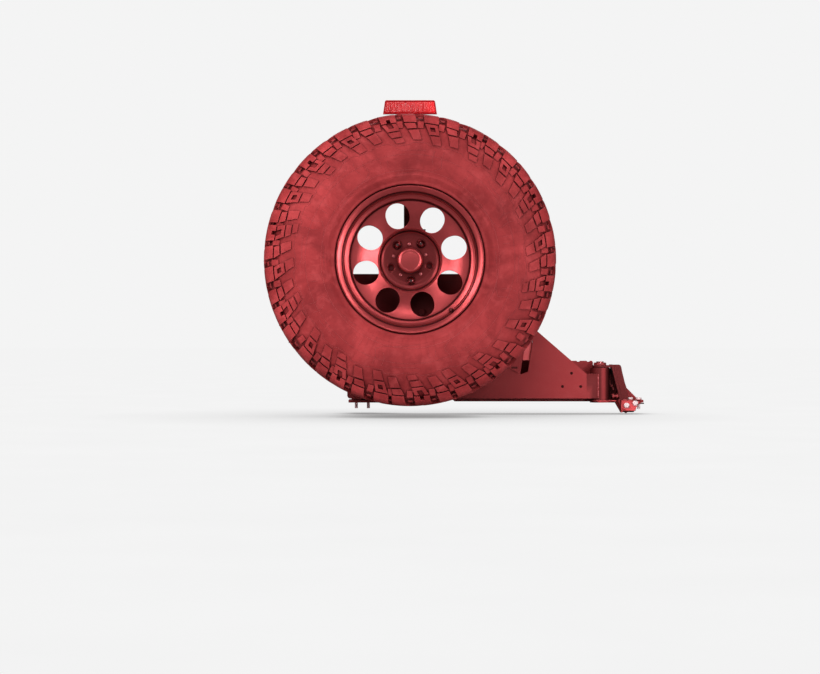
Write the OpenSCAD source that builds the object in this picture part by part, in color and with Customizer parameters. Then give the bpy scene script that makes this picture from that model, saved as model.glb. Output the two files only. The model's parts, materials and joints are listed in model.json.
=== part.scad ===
// Swing-away spare tyre carrier: a hinge foot and tower bolted to a bumper, a plate-faced
// swing arm on tapered roller bearings, a mast with a wheel mount, the spare wheel and tyre,
// a high brake light on a stalk, and a hook latch released by a paddle.
// Millimetres. Origin: middle of the two upright foot bolts, on the underside of the foot.
// +Z up, +X outboard (to the hinge side), +Y towards the vehicle, -Y towards the wheel.
// Front means -Y, back +Y, right +X and left -X.

/* [Wheel and tyre] */
// Outside diameter of the tyre over its lugs
tyre_d = 918; // [910:1:922]
// Overall width of the tyre at its sidewalls
tyre_w = 318; // [314:1:320]
// Number of shoulder lugs on each side of the tread
lug_count = 40; // [36:2:44]
// Lug circle diameter of the wheel
lug_pcd = 127; // [124:0.5:130]
// Number of large holes in the wheel disc
wheel_holes = 8; // [6:1:8]
// Turn of the wheel on its studs, in degrees
wheel_turn = 0; // [0:1:10]

/* [Swing arm] */
// Height of the box tube of the arm
arm_h = 76.2; // [74:0.2:78]
// Wall of the arm and mast tubes
tube_t = 4.8; // [4:0.2:6]
// Thickness of the front and rear plates
plate_t = 4.76; // [4.5:0.02:5]
// Height of the top edge of the face plate behind the wheel
plate_top = 419; // [405:1:425]

/* [Hinge] */
// Outside diameter of the pivot tube
pivot_od = 63.5; // [63:0.1:64]
// Thickness of the bumper foot
foot_t = 8; // [7.5:0.1:8]
// Slope of the front leaf of the foot below the horizontal
foot_slope = 50; // [48:1:52]
// Distance between the two upright foot bolts
foot_bolt_gap = 28; // [27:0.5:29]

/* [Brake light] */
// Height of the middle of the light above the foot's underside
light_z = 960; // [955:1:965]

/* [Hidden] */
$fn = 64;

// finishes: all but the light's board carry the same red tint
steel_red = [0.60, 0.19, 0.20];
dark_red = [0.30, 0.08, 0.09];
tyre_red = [0.66, 0.23, 0.24];
wheel_red = [0.72, 0.28, 0.29];
bright_red = [0.95, 0.55, 0.55];
lens_red = [0.86, 0.10, 0.12];
spring_red = [0.40, 0.12, 0.13];
board_green = [0.1, 0.35, 0.15];

// main places
pivot_x = -113;                 // pivot axis; its Y is 0
wheel_x = -735;                 // middle of the wheel's mounting face
wheel_y = -214;
wheel_z = 455;
face_front = -49;               // front of the face plate
tube_front = face_front + plate_t;
tube_back = 32;
tube_depth = tube_back - tube_front;
arm_z0 = 16;                    // underside and top of the box tube
arm_z1 = arm_z0 + arm_h;
pivot_r = pivot_od / 2;
doubler_front = face_front - plate_t;

// ------------------------------------------------------------------ helpers
// an extrusion drawn in X-Z, from y0 to y1
module slab(y0, y1) {
  translate([0, y1, 0]) rotate([90, 0, 0]) linear_extrude(y1 - y0) children();
}
// an extrusion drawn in Y-Z, from x to x + width
module side_slab(x, width) {
  translate([x, 0, 0]) rotate([90, 0, 90]) linear_extrude(width) children();
}
// frame at an [x, z] place: x right, y up, z towards the front
module frontward(place, y = 0) {
  translate([place[0], y, place[1]]) rotate([90, 0, 0]) children();
}
// round bores at [x, z] places, running forwards from y
module front_bores(places, y, r, h) {
  for (place = places) frontward(place, y) cylinder(r = r, h = h);
}
module at_wheel() {
  frontward([wheel_x, wheel_z], wheel_y) children();
}
module on_turned_wheel() {
  at_wheel() rotate([0, 0, wheel_turn]) children();
}
module at_pivot(z = 0) {
  translate([pivot_x, 0, z]) children();
}
module polar(angle, radius, z = 0) {
  rotate([0, 0, angle]) translate([radius, 0, z]) children();
}
module ring(outer_r, inner_r, h) {
  difference() {
    cylinder(r = outer_r, h = h);
    translate([0, 0, -1]) cylinder(r = inner_r, h = h + 2);
  }
}
// a hexagonal prism, sized across its flats
module hexagon(flats, h) {
  cylinder(d = flats / cos(30), h = h, $fn = 6);
}
// hexagon head bolt pointing down from z = 0, its head above;
// grip is a plain shank a little wider than the thread
module bolt(r, length, flats, head_h, grip = 0) {
  translate([0, 0, -length]) cylinder(r = r, h = length + 0.5);
  if (grip > 0) translate([0, 0, -grip]) cylinder(r = r + 0.2, h = grip + 0.5);
  intersection() {
    hexagon(flats, head_h);
    translate([0, 0, -1])
      cylinder(r1 = flats * 0.58 + head_h * 1.2 + 1.2, r2 = flats * 0.5, h = head_h + 1);
  }
}
function unit(v) = v / norm(v);
// right half of an outline, bottom to top, completed about the line x = middle
function symmetric(half, middle) = concat(
  [for (p = half) [middle + p[0], p[1]]],
  [for (i = [len(half) - 1 : -1 : 0]) [middle - half[i][0], half[i][1]]]);
// faces of a closed round bar of rings 0 to last
function bar_faces(last, sides) = concat(
  [[for (j = [0 : sides - 1]) j]],
  [for (i = [0 : last - 1]) for (j = [0 : sides - 1])
    [i * sides + j, (i + 1) * sides + j,
     (i + 1) * sides + (j + 1) % sides, i * sides + (j + 1) % sides]],
  [[for (j = [sides - 1 : -1 : 0]) last * sides + j]]);
// closed helical wire of total height h
module coil(mean_r, wire_r, turns, h) {
  steps = 18;                   // per turn
  sides = 8;
  last = round(turns * steps);
  points = [for (i = [0 : last]) for (j = [0 : sides - 1])
    let (a = 360 * i / steps, b = 360 * j / sides, r = mean_r + wire_r * cos(b))
    [r * cos(a), r * sin(a), h * i / last + wire_r * sin(b)]];
  polyhedron(points, bar_faces(last, sides), convexity = 8);
}
// round cable along a path of points
module cable_run(path) {
  cable_r = 3;
  sides = 10;
  last = len(path) - 1;
  tangents = [for (i = [0 : last])
    unit(i == 0 ? path[1] - path[0]
      : i == last ? path[i] - path[i - 1]
      : unit(path[i] - path[i - 1]) + unit(path[i + 1] - path[i]))];
  points = [for (i = [0 : last])
    let (u = unit(cross(tangents[i], [0.36, 0.48, 0.8])), v = cross(tangents[i], u))
    for (j = [0 : sides - 1])
      path[i] + cable_r * (cos(360 * j / sides) * u + sin(360 * j / sides) * v)];
  polyhedron(points, bar_faces(last, sides), convexity = 8);
}
// a path whose corners are rounded by passing through the middles of its sides
function soft(path) = concat([path[0]],
  [for (i = [1 : len(path) - 2]) for (k = [0 : i == len(path) - 2 ? 3 : 2])
    let (a = (path[i - 1] + path[i]) / 2, b = (path[i] + path[i + 1]) / 2, w = k / 3)
    (1 - w) * (1 - w) * a + 2 * w * (1 - w) * path[i] + w * w * b],
  [path[len(path) - 1]]);

// ------------------------------------------------------------------ hinge, bumper side
slope_cos = cos(foot_slope);
slope_sin = sin(foot_slope);
bend_y = -22;                   // bend line on the foot's top
leaf_l = 43.6;                  // length of the sloped leaf
foot_back = 36;
// where the underside turns down the slope
under_bend_y = bend_y + foot_t * slope_sin
  - (foot_t - foot_t * slope_cos) * slope_cos / slope_sin;
upright_holes = [[-foot_bolt_gap / 2, 0], [foot_bolt_gap / 2, 0]];  // x, y
slope_holes = [[-30, 26], [-1, 17]];                                // x, distance down the slope
foot_bolt_r = 5;
foot_hole_r = 5.5;
washer_t = 2.2;

tower_z0 = 8;
tower_z1 = 124;
tower_t = 8.5;
tower_front = -24;
tower_lean = 29.2;              // lean inboard over its height
shoulder_z = tower_z1 - 2;      // foot of the bevel on the tower's top corner
function tower_left(z) = -49.8 - (z - tower_z0) * tower_lean / (tower_z1 - tower_z0);
function tower_right(z) = tower_left(z) + tower_t;

ear_z = 114;
ear_t = 8;
spindle_r = 13.47;
thread_r = 11.9;
collar_r = 17;
collar_h = 6.5;
cotter_z = 127.3;
stop_y = -15;
stop_z = 21.4;
stop_r = 4;

// frame on the sloped leaf, its origin on the top face
module on_slope(hole) {
  translate([hole[0], bend_y - hole[1] * slope_cos, foot_t - hole[1] * slope_sin])
    rotate([foot_slope, 0, 0]) children();
}
module at_foot_bolts(lift = 0) {
  for (p = upright_holes) translate([p[0], p[1], foot_t + lift]) children();
  for (p = slope_holes) on_slope(p) translate([0, 0, lift]) children();
}

module hinge_foot() color(steel_red) difference() {
  union() {
    difference() {
      side_slab(-48, 77) polygon([
        [foot_back, 0], [foot_back, foot_t], [bend_y, foot_t],
        [bend_y - leaf_l * slope_cos, foot_t - leaf_l * slope_sin],
        [bend_y - leaf_l * slope_cos + foot_t * slope_sin,
         foot_t - leaf_l * slope_sin - foot_t * slope_cos],
        [under_bend_y, 0]]);
      // the outboard edge of the sloped leaf runs back at an angle
      slab(-70, bend_y) polygon([[18, 8.01], [45, 8.01], [45, -50], [-21.2, -50]]);
      // outboard corners of the flat leaf, front then back
      translate([0, 0, -1]) linear_extrude(12)
        polygon([[18, bend_y - 1], [40, bend_y - 1], [40, -6], [29, -6], [18, bend_y]]);
      translate([0, 0, -1]) linear_extrude(12) polygon([[20, 37], [40, 37], [40, 26], [29, 28]]);
    }
    // cheek at the inboard edge, cut off along the underside of the foot
    difference() {
      translate([0, 0, -31.5]) linear_extrude(31.5 + foot_t)
        polygon([[-48, -49], [-44.5, -49], [-57, -20], [-65.5, -20]]);
      side_slab(-80, 60) polygon([[under_bend_y, 0],
        [under_bend_y - 70 * slope_cos, -70 * slope_sin], [40, -70 * slope_sin], [40, 0]]);
    }
    // the lower ear under the pivot tube
    linear_extrude(foot_t) union() {
      translate([pivot_x, 0]) circle(r = 33, $fn = 96);
      polygon([[pivot_x, -29], [-46, bend_y + 1], [-46, 35], [pivot_x, 29]]);
    }
  }
  for (p = upright_holes) translate([p[0], p[1], -5]) cylinder(r = foot_hole_r, h = 20);
  for (p = slope_holes) on_slope(p) translate([0, 0, -20]) cylinder(r = foot_hole_r, h = 30);
  at_pivot(-5) cylinder(r = spindle_r, h = 20);
}
module hinge_side_plate() color(steel_red) difference() {
  union() {
    slab(tower_front, foot_back) polygon([
      [tower_left(tower_z0), tower_z0], [tower_right(tower_z0), tower_z0],
      [tower_right(shoulder_z), shoulder_z], [tower_right(shoulder_z) - 2, tower_z1],
      [tower_left(tower_z1), tower_z1]]);
    // flange at the back edge, reaching inboard
    slab(29, foot_back) polygon([[-84, tower_z0], [tower_left(tower_z0) + 1, tower_z0],
      [tower_left(112) + 1, 112], [-84, 112]]);
  }
  translate([-120, stop_y, stop_z]) rotate([0, 90, 0]) cylinder(r = stop_r, h = 100);
}
module hinge_front_plate() color(steel_red)
  slab(tower_front, -16) polygon([[tower_right(tower_z0), tower_z0], [-23.4, 8], [-29, 51.6],
    [-33.4, 64], [-42, 99], [-45.5, 117], [-48.5, 122], [-53, 124],
    [tower_right(shoulder_z) - 2, tower_z1], [tower_right(shoulder_z), shoulder_z]]);
module hinge_gusset() color(steel_red)
  slab(14, 22) polygon([[tower_right(tower_z0), tower_z0], [15, 8], [-29, 52], [-38, 66],
    [tower_right(66), 66]]);
module hinge_ear() color(steel_red) difference() {
  translate([0, 0, ear_z]) linear_extrude(ear_t) union() {
    translate([pivot_x, 0]) circle(r = 25);
    polygon([[pivot_x, -23], [-50, -21], [-50, 30], [pivot_x, 23]]);
  }
  // trimmed along the tower's left face
  slab(-40, 60) polygon([[tower_left(100), 100], [0, 100], [0, 140], [tower_left(140), 140]]);
  at_pivot(100) cylinder(r = 13.6, h = 40);
}
module foot_bolts() color(bright_red)
  at_foot_bolts(washer_t) bolt(foot_bolt_r, 32, 16, 6.4, foot_t + washer_t);
module foot_washers() color(bright_red) at_foot_bolts() ring(9.5, 5.4, washer_t);

module spindle() color(bright_red) at_pivot() difference() {
  union() {
    cylinder(r = spindle_r, h = 121.9);
    translate([0, 0, foot_t]) cylinder(r = collar_r, h = collar_h);
    translate([0, 0, 120]) cylinder(r = thread_r, h = 14);
  }
  translate([0, 0, cotter_z]) rotate([90, 0, 0]) translate([0, 0, -20])
    cylinder(r = 1.8, h = 40);
}
module spindle_spacer() color(bright_red)
  at_pivot(ear_z - collar_h) ring(collar_r, 13.49, collar_h);
module spindle_nut() color(bright_red) at_pivot(ear_z + ear_t) difference() {
  intersection() {
    hexagon(36, 8.5);
    cylinder(r1 = 30, r2 = 18.2, h = 8.5);
  }
  translate([0, 0, -1]) cylinder(r = thread_r + 0.02, h = 12);
  // castle slots
  for (a = [30, 90, 150]) rotate([0, 0, a]) translate([-25, -2.2, 3.2]) cube([50, 4.4, 8]);
}
module spindle_cotter() color(bright_red) at_pivot(cotter_z) rotate([90, 0, 0]) {
  translate([0, 0, -20]) cylinder(r = 1.6, h = 41);
  translate([0, 0, -22.4]) rotate([0, 90, 0]) translate([0, 0, -1.6]) cylinder(r = 3.4, h = 3.2);
}

// tapered roller bearing, drawn with its wide side down; profiles are [radius, z]
bearing_h = 14.2;
cup_r = 25.146;
lower_bearing_z = tower_z0 + collar_h;
upper_bearing_z = ear_z - collar_h;
cone_profile = [[13.494, 0], [19.9, 0], [19.9, 2.6], [18.62, 2.9], [17.78, 12.2], [18.6, 12.5],
  [18.6, bearing_h], [13.494, bearing_h]];
cup_profile = [[23.46, 3.5], [cup_r, 3.5], [cup_r, bearing_h], [21.96, bearing_h], [21.96, 12.6]];
module at_bearings() {
  at_pivot(lower_bearing_z) children();
  at_pivot(upper_bearing_z) mirror([0, 0, 1]) children();
}
module bearing_cones() color(bright_red)
  at_bearings() rotate_extrude($fn = 96) polygon(cone_profile);
module bearing_cups() color(bright_red)
  at_bearings() rotate_extrude($fn = 96) polygon(cup_profile);
module bearing_rollers() color(bright_red)
  at_bearings() for (i = [0 : 14]) polar(i * 24, 21.04, 3.2)
    rotate([0, -7.2, 0]) cylinder(r1 = 2.27, r2 = 1.95, h = 8.9, $fn = 24);
// screwed through the side plate, its head and nut on the left
module stop_bolt() color(bright_red) translate([0, stop_y, stop_z]) rotate([0, -90, 0]) {
  translate([0, 0, 68.2]) bolt(stop_r, 22.5, 13, 6);
  translate([0, 0, -tower_left(stop_z) + 2]) difference() {
    hexagon(13, 5);
    translate([0, 0, -1]) cylinder(r = stop_r + 0.02, h = 8);
  }
}

// ------------------------------------------------------------------ striker, bumper side
striker_x = -893;               // striker pin
striker_y = 14;
striker_r = 6;
striker_holes = [[striker_x - 20, 86], [striker_x + 20, 86]];  // x, y
lug_zs = [22, 78];              // undersides of the two lugs that hold the pin
pad_x = -838;                   // left and front edges of the rest pad
pad_y = -18;

module striker_base() color(steel_red) difference() {
  linear_extrude(foot_t) polygon([[-936, -20], [-930, -26], [-784, -26], [-778, -20],
    [-778, 60], [-788, 70], [-848, 74], [-848, 98], [-854, 104], [-930, 104], [-936, 98]]);
  for (p = striker_holes) translate([p[0], p[1], -5]) cylinder(r = foot_hole_r, h = 20);
}
module striker_upright() color(steel_red) difference() {
  union() {
    slab(54, 62) polygon(symmetric([[35, foot_t], [35, 60], [21, 90]], striker_x));
    for (z = lug_zs) translate([0, 0, z]) linear_extrude(6) union() {
      translate([striker_x, striker_y]) circle(r = 11);
      polygon(symmetric([[10, striker_y], [16, 54.5]], striker_x));
    }
  }
  translate([striker_x, striker_y, 0]) cylinder(r = striker_r, h = 120);
}
module striker_pin() color(bright_red) translate([striker_x, striker_y, 0]) {
  translate([0, 0, lug_zs[0]]) cylinder(r = striker_r, h = 63);
  translate([0, 0, 84]) cylinder(r = 9, h = 3);
}
module striker_bolts() color(bright_red)
  for (p = striker_holes) translate([p[0], p[1], foot_t]) bolt(foot_bolt_r, 30, 16, 6.4, foot_t);
module rest_pad() color(dark_red) difference() {
  translate([pad_x, pad_y, foot_t]) cube([50, 44, arm_z0 - 0.5 - foot_t]);
  for (x = [12, 38]) translate([pad_x + x, pad_y + 22, arm_z0 - 4]) cylinder(r = 6, h = 10);
}

// ------------------------------------------------------------------ swing arm
pivot_tube_z0 = 9.5;
pivot_tube_z1 = 112.5;
fitting_z = 62;
arm_x0 = -848;                  // left and right ends of the box tube
arm_x1 = -135;
end_plate_t = 4.8;
plate_z0 = 14.1;                // bottom of the face plate
bend_top = 94.4;                // top of its bent end
accessory_holes = [[-209.9, 96.3], [-239.2, 53], [-180, 53]];  // x, z
accessory_r = 3.5;
latch_holes = [[-916, 54], [-866, 54]];                        // x, z
// hand slot in front of the latch paddle: x, z
slot = [[-377.2, 91.8], [-351.8, 100.6], [-336.2, 201], [-360.7, 201]];

// the bend of the face plate towards the pivot tube, seen from above
bend_start = [-161, face_front];
bend_end = [-122, -31];
bend_dir = unit(bend_end - bend_start);
bend_normal = [-bend_dir[1], bend_dir[0]];  // into the arm
inner_start = bend_start + plate_t * bend_normal;
inner_corner = inner_start + bend_dir * ((tube_front - inner_start[1]) / bend_dir[1]);
inner_end = bend_end + plate_t * bend_normal;

module pivot_tube() color(steel_red) difference() {
  at_pivot(pivot_tube_z0) cylinder(r = pivot_r, h = pivot_tube_z1 - pivot_tube_z0, $fn = 96);
  at_pivot() cylinder(r = 22.5, h = 140);
  at_pivot() cylinder(r = cup_r, h = lower_bearing_z + bearing_h);
  at_pivot(upper_bearing_z - bearing_h) cylinder(r = cup_r, h = 40);
  at_pivot(fitting_z) rotate([-90, 0, 0]) cylinder(r = 3.2, h = 60);
}
module grease_seals() color(dark_red)
  for (z = [10, 108]) at_pivot(z) ring(cup_r, collar_r + 0.05, 4);
module grease_fitting() color(bright_red) at_pivot(fitting_z) rotate([-90, 0, 0]) {
  translate([0, 0, 24]) cylinder(r = 3.2, h = 9);
  translate([0, 0, pivot_r]) hexagon(9, 3.5);
  translate([0, 0, pivot_r + 3]) cylinder(r1 = 3.4, r2 = 2.2, h = 6);
  translate([0, 0, pivot_r + 8.6]) cylinder(r = 3.1, h = 3.2);
}
// the space the pivot tube takes from the arm
module pivot_clear() at_pivot() cylinder(r = pivot_r, h = 120, $fn = 96);

module arm_tube() color(steel_red) difference() {
  translate([arm_x0, tube_front, arm_z0]) cube([arm_x1 - arm_x0, tube_depth, arm_h]);
  translate([-870, tube_front + tube_t, arm_z0 + tube_t])
    cube([900, tube_depth - 2 * tube_t, arm_h - 2 * tube_t]);
  pivot_clear();
  front_bores([accessory_holes[1], accessory_holes[2]], tube_front + 10, accessory_r, 20);
  // the front wall stops where the face plate bends back
  linear_extrude(200) polygon([inner_corner + 0.02 * bend_normal,
    inner_end + 30 * bend_dir + 0.02 * bend_normal,
    inner_end + 30 * bend_dir + [0, -60], inner_corner + [0, -60]]);
}
module arm_face_plate() color(steel_red) difference() {
  union() {
    slab(face_front, tube_front) polygon([[-939, 22], [-936, 16.5], [-931, plate_z0],
      [bend_start[0], plate_z0], [bend_start[0], bend_top], [-536, plate_top],
      [-925, plate_top], [-935, plate_top - 4], [-939, plate_top - 14]]);
    translate([0, 0, plate_z0]) linear_extrude(bend_top - plate_z0)
      polygon([[-166, face_front], bend_start, bend_end, inner_end, inner_corner,
        [-166, tube_front]]);
  }
  pivot_clear();
  // relief for the wheel mount standoff
  slab(face_front - 5, tube_front + 5) translate([wheel_x, wheel_z]) circle(r = 48);
  slab(face_front - 5, tube_front + 5) polygon(slot);
  front_bores(accessory_holes, tube_front + 5, accessory_r, 20);
  front_bores(mount_holes, tube_front + 5, mount_hole_r, 20);
  front_bores(latch_holes, tube_front + 5, 4.2, 20);
}
module arm_rear_plate() color(steel_red)
  slab(tube_back, tube_back + plate_t) polygon([[-600, 12], [-588, 2], [-137, 2], [-133, 6],
    [-133, 132], [-137, 136], [-144, 136], [-144, 133], [-153, 133], [-153, 136], [-177, 136],
    [-177, 133], [-186, 133], [-186, 136], [-262, 136], [-380, 236], [-600, 236]]);
module arm_end_plate() color(steel_red)
  translate([arm_x0 - end_plate_t, tube_front, arm_z0]) cube([end_plate_t, tube_depth, arm_h]);

// ------------------------------------------------------------------ mast and wheel mount
mast_w = 101.6;
mast_x0 = wheel_x - mast_w / 2;
mast_top = 560;
mount_holes = [for (z = [296, 236]) for (x = [-38, 38]) [wheel_x + x, z]];
mount_hole_r = 6.3;
stalk_holes = [[wheel_x, 522], [wheel_x, 546]];  // x, z
doubler_hole_r = 66;
mount_plate_t = 10;
stud_r = 6.35;
lug_r = lug_pcd / 2;
stud_angles = [56.8, 128.7, 272.6];
spare_angles = [200.6, 344.8];  // wheel holes with no stud

// upright box tube behind the face plate, with welded nuts inside its front wall
module mast() color(steel_red) difference() {
  union() {
    difference() {
      translate([mast_x0, tube_front, arm_z1]) cube([mast_w, tube_depth, mast_top - arm_z1]);
      translate([mast_x0 + tube_t, tube_front + tube_t, arm_z1 - 1])
        cube([mast_w - 2 * tube_t, tube_depth - 2 * tube_t, mast_top - arm_z1 + 2]);
    }
    front_bores(mount_holes, tube_front + tube_t + 9.5, 10, 10);
  }
  front_bores(mount_holes, tube_back - 10, 6, 100);
  front_bores(stalk_holes, tube_back - 10, 3, 100);
  // light cable hole in the back wall
  translate([wheel_x + 30, 0, 540]) rotate([-90, 0, 0]) cylinder(r = 5, h = 60);
}
module mast_cap() color(steel_red)
  translate([mast_x0, tube_front, mast_top]) cube([mast_w, tube_depth, tube_t]);
module mount_doubler() color(steel_red) difference() {
  slab(doubler_front, face_front) polygon([[-384, 97], [-384, 163], [-566, 392], [-904, 392],
    [-904, 330], [-820, 176], [-640, 176], [-520, 172]]);
  slab(face_front - 10, face_front + 1)
    translate([wheel_x, wheel_z]) circle(r = doubler_hole_r);
  slab(face_front - 10, face_front + 1)
    polygon([[-406, 111], [-385.9, 111], [-385.9, 117.5], [-406, 117.5]]);
  front_bores(mount_holes, face_front + 1, mount_hole_r, 20);
}
module mount_bolts() color(bright_red)
  for (p = mount_holes) frontward(p, doubler_front) bolt(6, 19, 19, 7.5);
module standoff() color(steel_red) frontward([wheel_x, wheel_z], tube_front) difference() {
  cylinder(r = 44.45, h = tube_front - (wheel_y + mount_plate_t), $fn = 96);
  translate([0, 0, -1]) cylinder(r = 39.4, h = 200, $fn = 96);
}
module standoff_gusset() color(steel_red)
  side_slab(wheel_x - 3, 6) polygon([[doubler_front, 318],
    [doubler_front, wheel_z - doubler_hole_r], [doubler_front, wheel_z - 45.5],
    [-150, wheel_z - 45.5], [-150, wheel_z - 52]]);
module wheel_mount_plate() color(steel_red) at_wheel() difference() {
  translate([0, 0, -mount_plate_t]) cylinder(r = 86, h = mount_plate_t, $fn = 96);
  translate([0, 0, -20]) cylinder(r = 32, h = 40);
  for (a = stud_angles) polar(a, lug_r, -20) cylinder(r = stud_r, h = 40);
}
module wheel_studs() color(bright_red) at_wheel() for (a = stud_angles) polar(a, lug_r) {
  translate([0, 0, -mount_plate_t - 4.5]) cylinder(r = 9.5, h = 4.5);
  translate([0, 0, -11]) cylinder(r = stud_r, h = 39);
}

// ------------------------------------------------------------------ latch
hook_x = -913;                  // hook pivot
hook_y = -15;
hook_pin_r = 5;
hook_tail_angle = -62;
housing_x0 = -924;
housing_x1 = -854;
housing_z = 34;
housing_h = 40;
housing_t = 4;

module latch_housing() color(steel_red) difference() {
  union() {
    translate([housing_x0, tube_front, housing_z])
      cube([housing_x1 - housing_x0, housing_t, housing_h]);
    for (z = [housing_z, housing_z + housing_h - housing_t]) translate([0, 0, z])
      linear_extrude(housing_t) polygon([[housing_x0, tube_front + 1],
        [housing_x1, tube_front + 1], [housing_x1, 12], [-868, 30], [-918, 30],
        [housing_x0, 24]]);
  }
  // mouth for the striker pin, open to the back
  translate([0, 0, 30]) linear_extrude(50) union() {
    translate([striker_x, 12]) circle(r = 8.5);
    translate([striker_x - 8.5, 12]) square([17, 40]);
  }
  translate([hook_x, hook_y, 30]) cylinder(r = hook_pin_r, h = 50);
  front_bores(latch_holes, 0, 4, 80);
}
module latch_pin() color(bright_red) translate([hook_x, hook_y, 0]) {
  translate([0, 0, 31.5]) cylinder(r = hook_pin_r, h = 43.5);
  translate([0, 0, 74]) cylinder(r = 8, h = 3);
}
module latch_bolts() color(bright_red)
  for (p = latch_holes) frontward(p, face_front) difference() {
    union() {
      rotate_extrude() polygon([[0, 0], [7.6, 0], [7.6, 1], [6.4, 3], [4, 4.2], [0, 4.4]]);
      translate([0, 0, -8.7]) cylinder(r = 4, h = 9.2);
    }
    translate([0, 0, 2]) hexagon(5, 5);
  }
module hook_spring() color(spring_red) translate([hook_x, hook_y, 62.4]) coil(7.2, 0.95, 2.6, 5.6);
// drawn open; seen from above it turns clockwise to close behind the striker pin
module latch_hook() color(bright_red) difference() {
  translate([hook_x, hook_y, 46]) linear_extrude(14) union() {
    circle(r = 11);
    rotate(118) translate([0, -6]) square([45, 12]);
    // the nose is an arc about the pivot
    intersection() {
      difference() {
        circle(r = 50, $fn = 120);
        circle(r = 42, $fn = 120);
      }
      polygon(concat([[0, 0]], [for (a = [85, 100, 120]) 90 * [cos(a), sin(a)]]));
    }
    rotate(hook_tail_angle) translate([0, -4]) square([20, 8]);
  }
  translate([hook_x, hook_y, 40]) cylinder(r = hook_pin_r + 0.05, h = 30);
  // small hole in the tail
  translate([hook_x + 15 * cos(hook_tail_angle), hook_y + 15 * sin(hook_tail_angle), 40])
    cylinder(r = 1.6, h = 30);
}

// paddle: leans with the slot and hangs from a pin behind the face plate
handle_x = -346.3;              // paddle pivot
handle_y = -32;
handle_z = 205;
handle_pin_r = 4;
paddle_slope = tan(8.7);
paddle_z0 = 141;                // lower end of the paddle
function paddle_x(offset, drop) = handle_x + offset - drop * paddle_slope;
// frame at the pivot's height, its z along +X
module along_handle(x, up = 0) {
  translate([handle_x + x, handle_y, handle_z + up]) rotate([0, 90, 0]) children();
}

module handle_bracket() color(steel_red) difference() {
  union() {
    translate([handle_x - 26, tube_front, handle_z + 2]) cube([50, 3, 18]);
    for (x = [-22, 19]) side_slab(handle_x + x, 3) polygon([
      [tube_front, handle_z + 2], [handle_y - 2, handle_z - 8], [handle_y + 8, handle_z - 6],
      [handle_y + 8, handle_z + 6], [tube_front, handle_z + 18]]);
  }
  along_handle(-50) cylinder(r = handle_pin_r, h = 100);
}
module handle_pin() color(bright_red) along_handle(0) {
  translate([0, 0, -25]) cylinder(r = handle_pin_r, h = 50);
  translate([0, 0, -27.5]) cylinder(r = 6, h = 3);
}
module handle_spring() color(spring_red) along_handle(10.4) coil(5.6, 0.8, 3, 6.4);
module latch_handle() color(steel_red) difference() {
  union() {
    along_handle(-18) cylinder(r = 7, h = 26);
    // the paddle plate
    slab(-40, -36.5) polygon([
      [paddle_x(-12, 12), handle_z - 8], [paddle_x(9, 12), handle_z - 8],
      [paddle_x(9, handle_z - paddle_z0), paddle_z0],
      [paddle_x(-12, handle_z - paddle_z0), paddle_z0]]);
    // the web between plate and pivot barrel
    slab(-39, handle_y) polygon([[handle_x - 14, handle_z - 14], [handle_x + 7, handle_z - 14],
      [handle_x + 7, handle_z - 1], [handle_x - 14, handle_z - 1]]);
    // the cable lever
    translate([handle_x - 18, handle_y - 4, handle_z]) cube([5, 8, 20]);
  }
  along_handle(-50) cylinder(r = handle_pin_r + 0.05, h = 100);
  along_handle(-50, 15) cylinder(r = 1.6, h = 100);
}
// sheathed cable along the top of the box tube, from the paddle to the hook
cable_z = arm_z1 + 3.4;
module release_cable() color(dark_red) cable_run(soft([
  [-368.6, -30, 218], [-384, -30, 218], [-406, -16, 196], [-440, -4, 120],
  [-470, 0, cable_z], [-640, 0, cable_z], [-662, 12, cable_z], [-668, 40, cable_z],
  [-735, 38, cable_z], [-802, 40, cable_z], [-808, 12, cable_z],
  [-828, -26, arm_z1 + 4], [-868, -34, arm_z1 + 4], [-888, -36, 80]]));

// ------------------------------------------------------------------ brake light
light_z0 = light_z - 22.5;
light_z1 = light_z + 22.5;
lens_front = -64;
rib_h = 1.2;                    // lens ribs, measured forwards
housing_front = -61;
stalk_front = face_front - 0.24;
light_holes = [[wheel_x - 24, light_z], [wheel_x + 24, light_z]];
// the light's outline, set in by inset: wider at its foot, top corners rounded
module light_outline(inset) {
  polygon(symmetric([[87.5 - inset, light_z0 + inset], [81.6 - inset, light_z1 - 5 - inset / 2],
    [79.5 - inset, light_z1 - 1.5 - inset], [76 - inset, light_z1 - inset]], wheel_x));
}

module light_stalk() color(steel_red) difference() {
  slab(stalk_front, tube_front) polygon(symmetric(
    [[20, 506], [20, light_z0 - 30], [32, light_z0 - 6], [32, light_z1 - 5]], wheel_x));
  front_bores(concat(stalk_holes, light_holes), 0, 3.2, 100);
  front_bores([[wheel_x, light_z]], 0, 5, 100);
}
module stalk_screws() color(bright_red) {
  for (p = stalk_holes) frontward(p, stalk_front) bolt(3, 14, 10, 4);
  for (p = light_holes) translate([p[0], tube_front, p[1]]) rotate([-90, 0, 0])
    bolt(3, 8.5, 10, 4);
}
module light_housing() color(dark_red) difference() {
  slab(housing_front, stalk_front) light_outline(0);
  slab(-70, -53) light_outline(3.2);
  front_bores(light_holes, 0, 3, 100);
  front_bores([[wheel_x, light_z]], 0, 3.5, 100);
}
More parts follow.
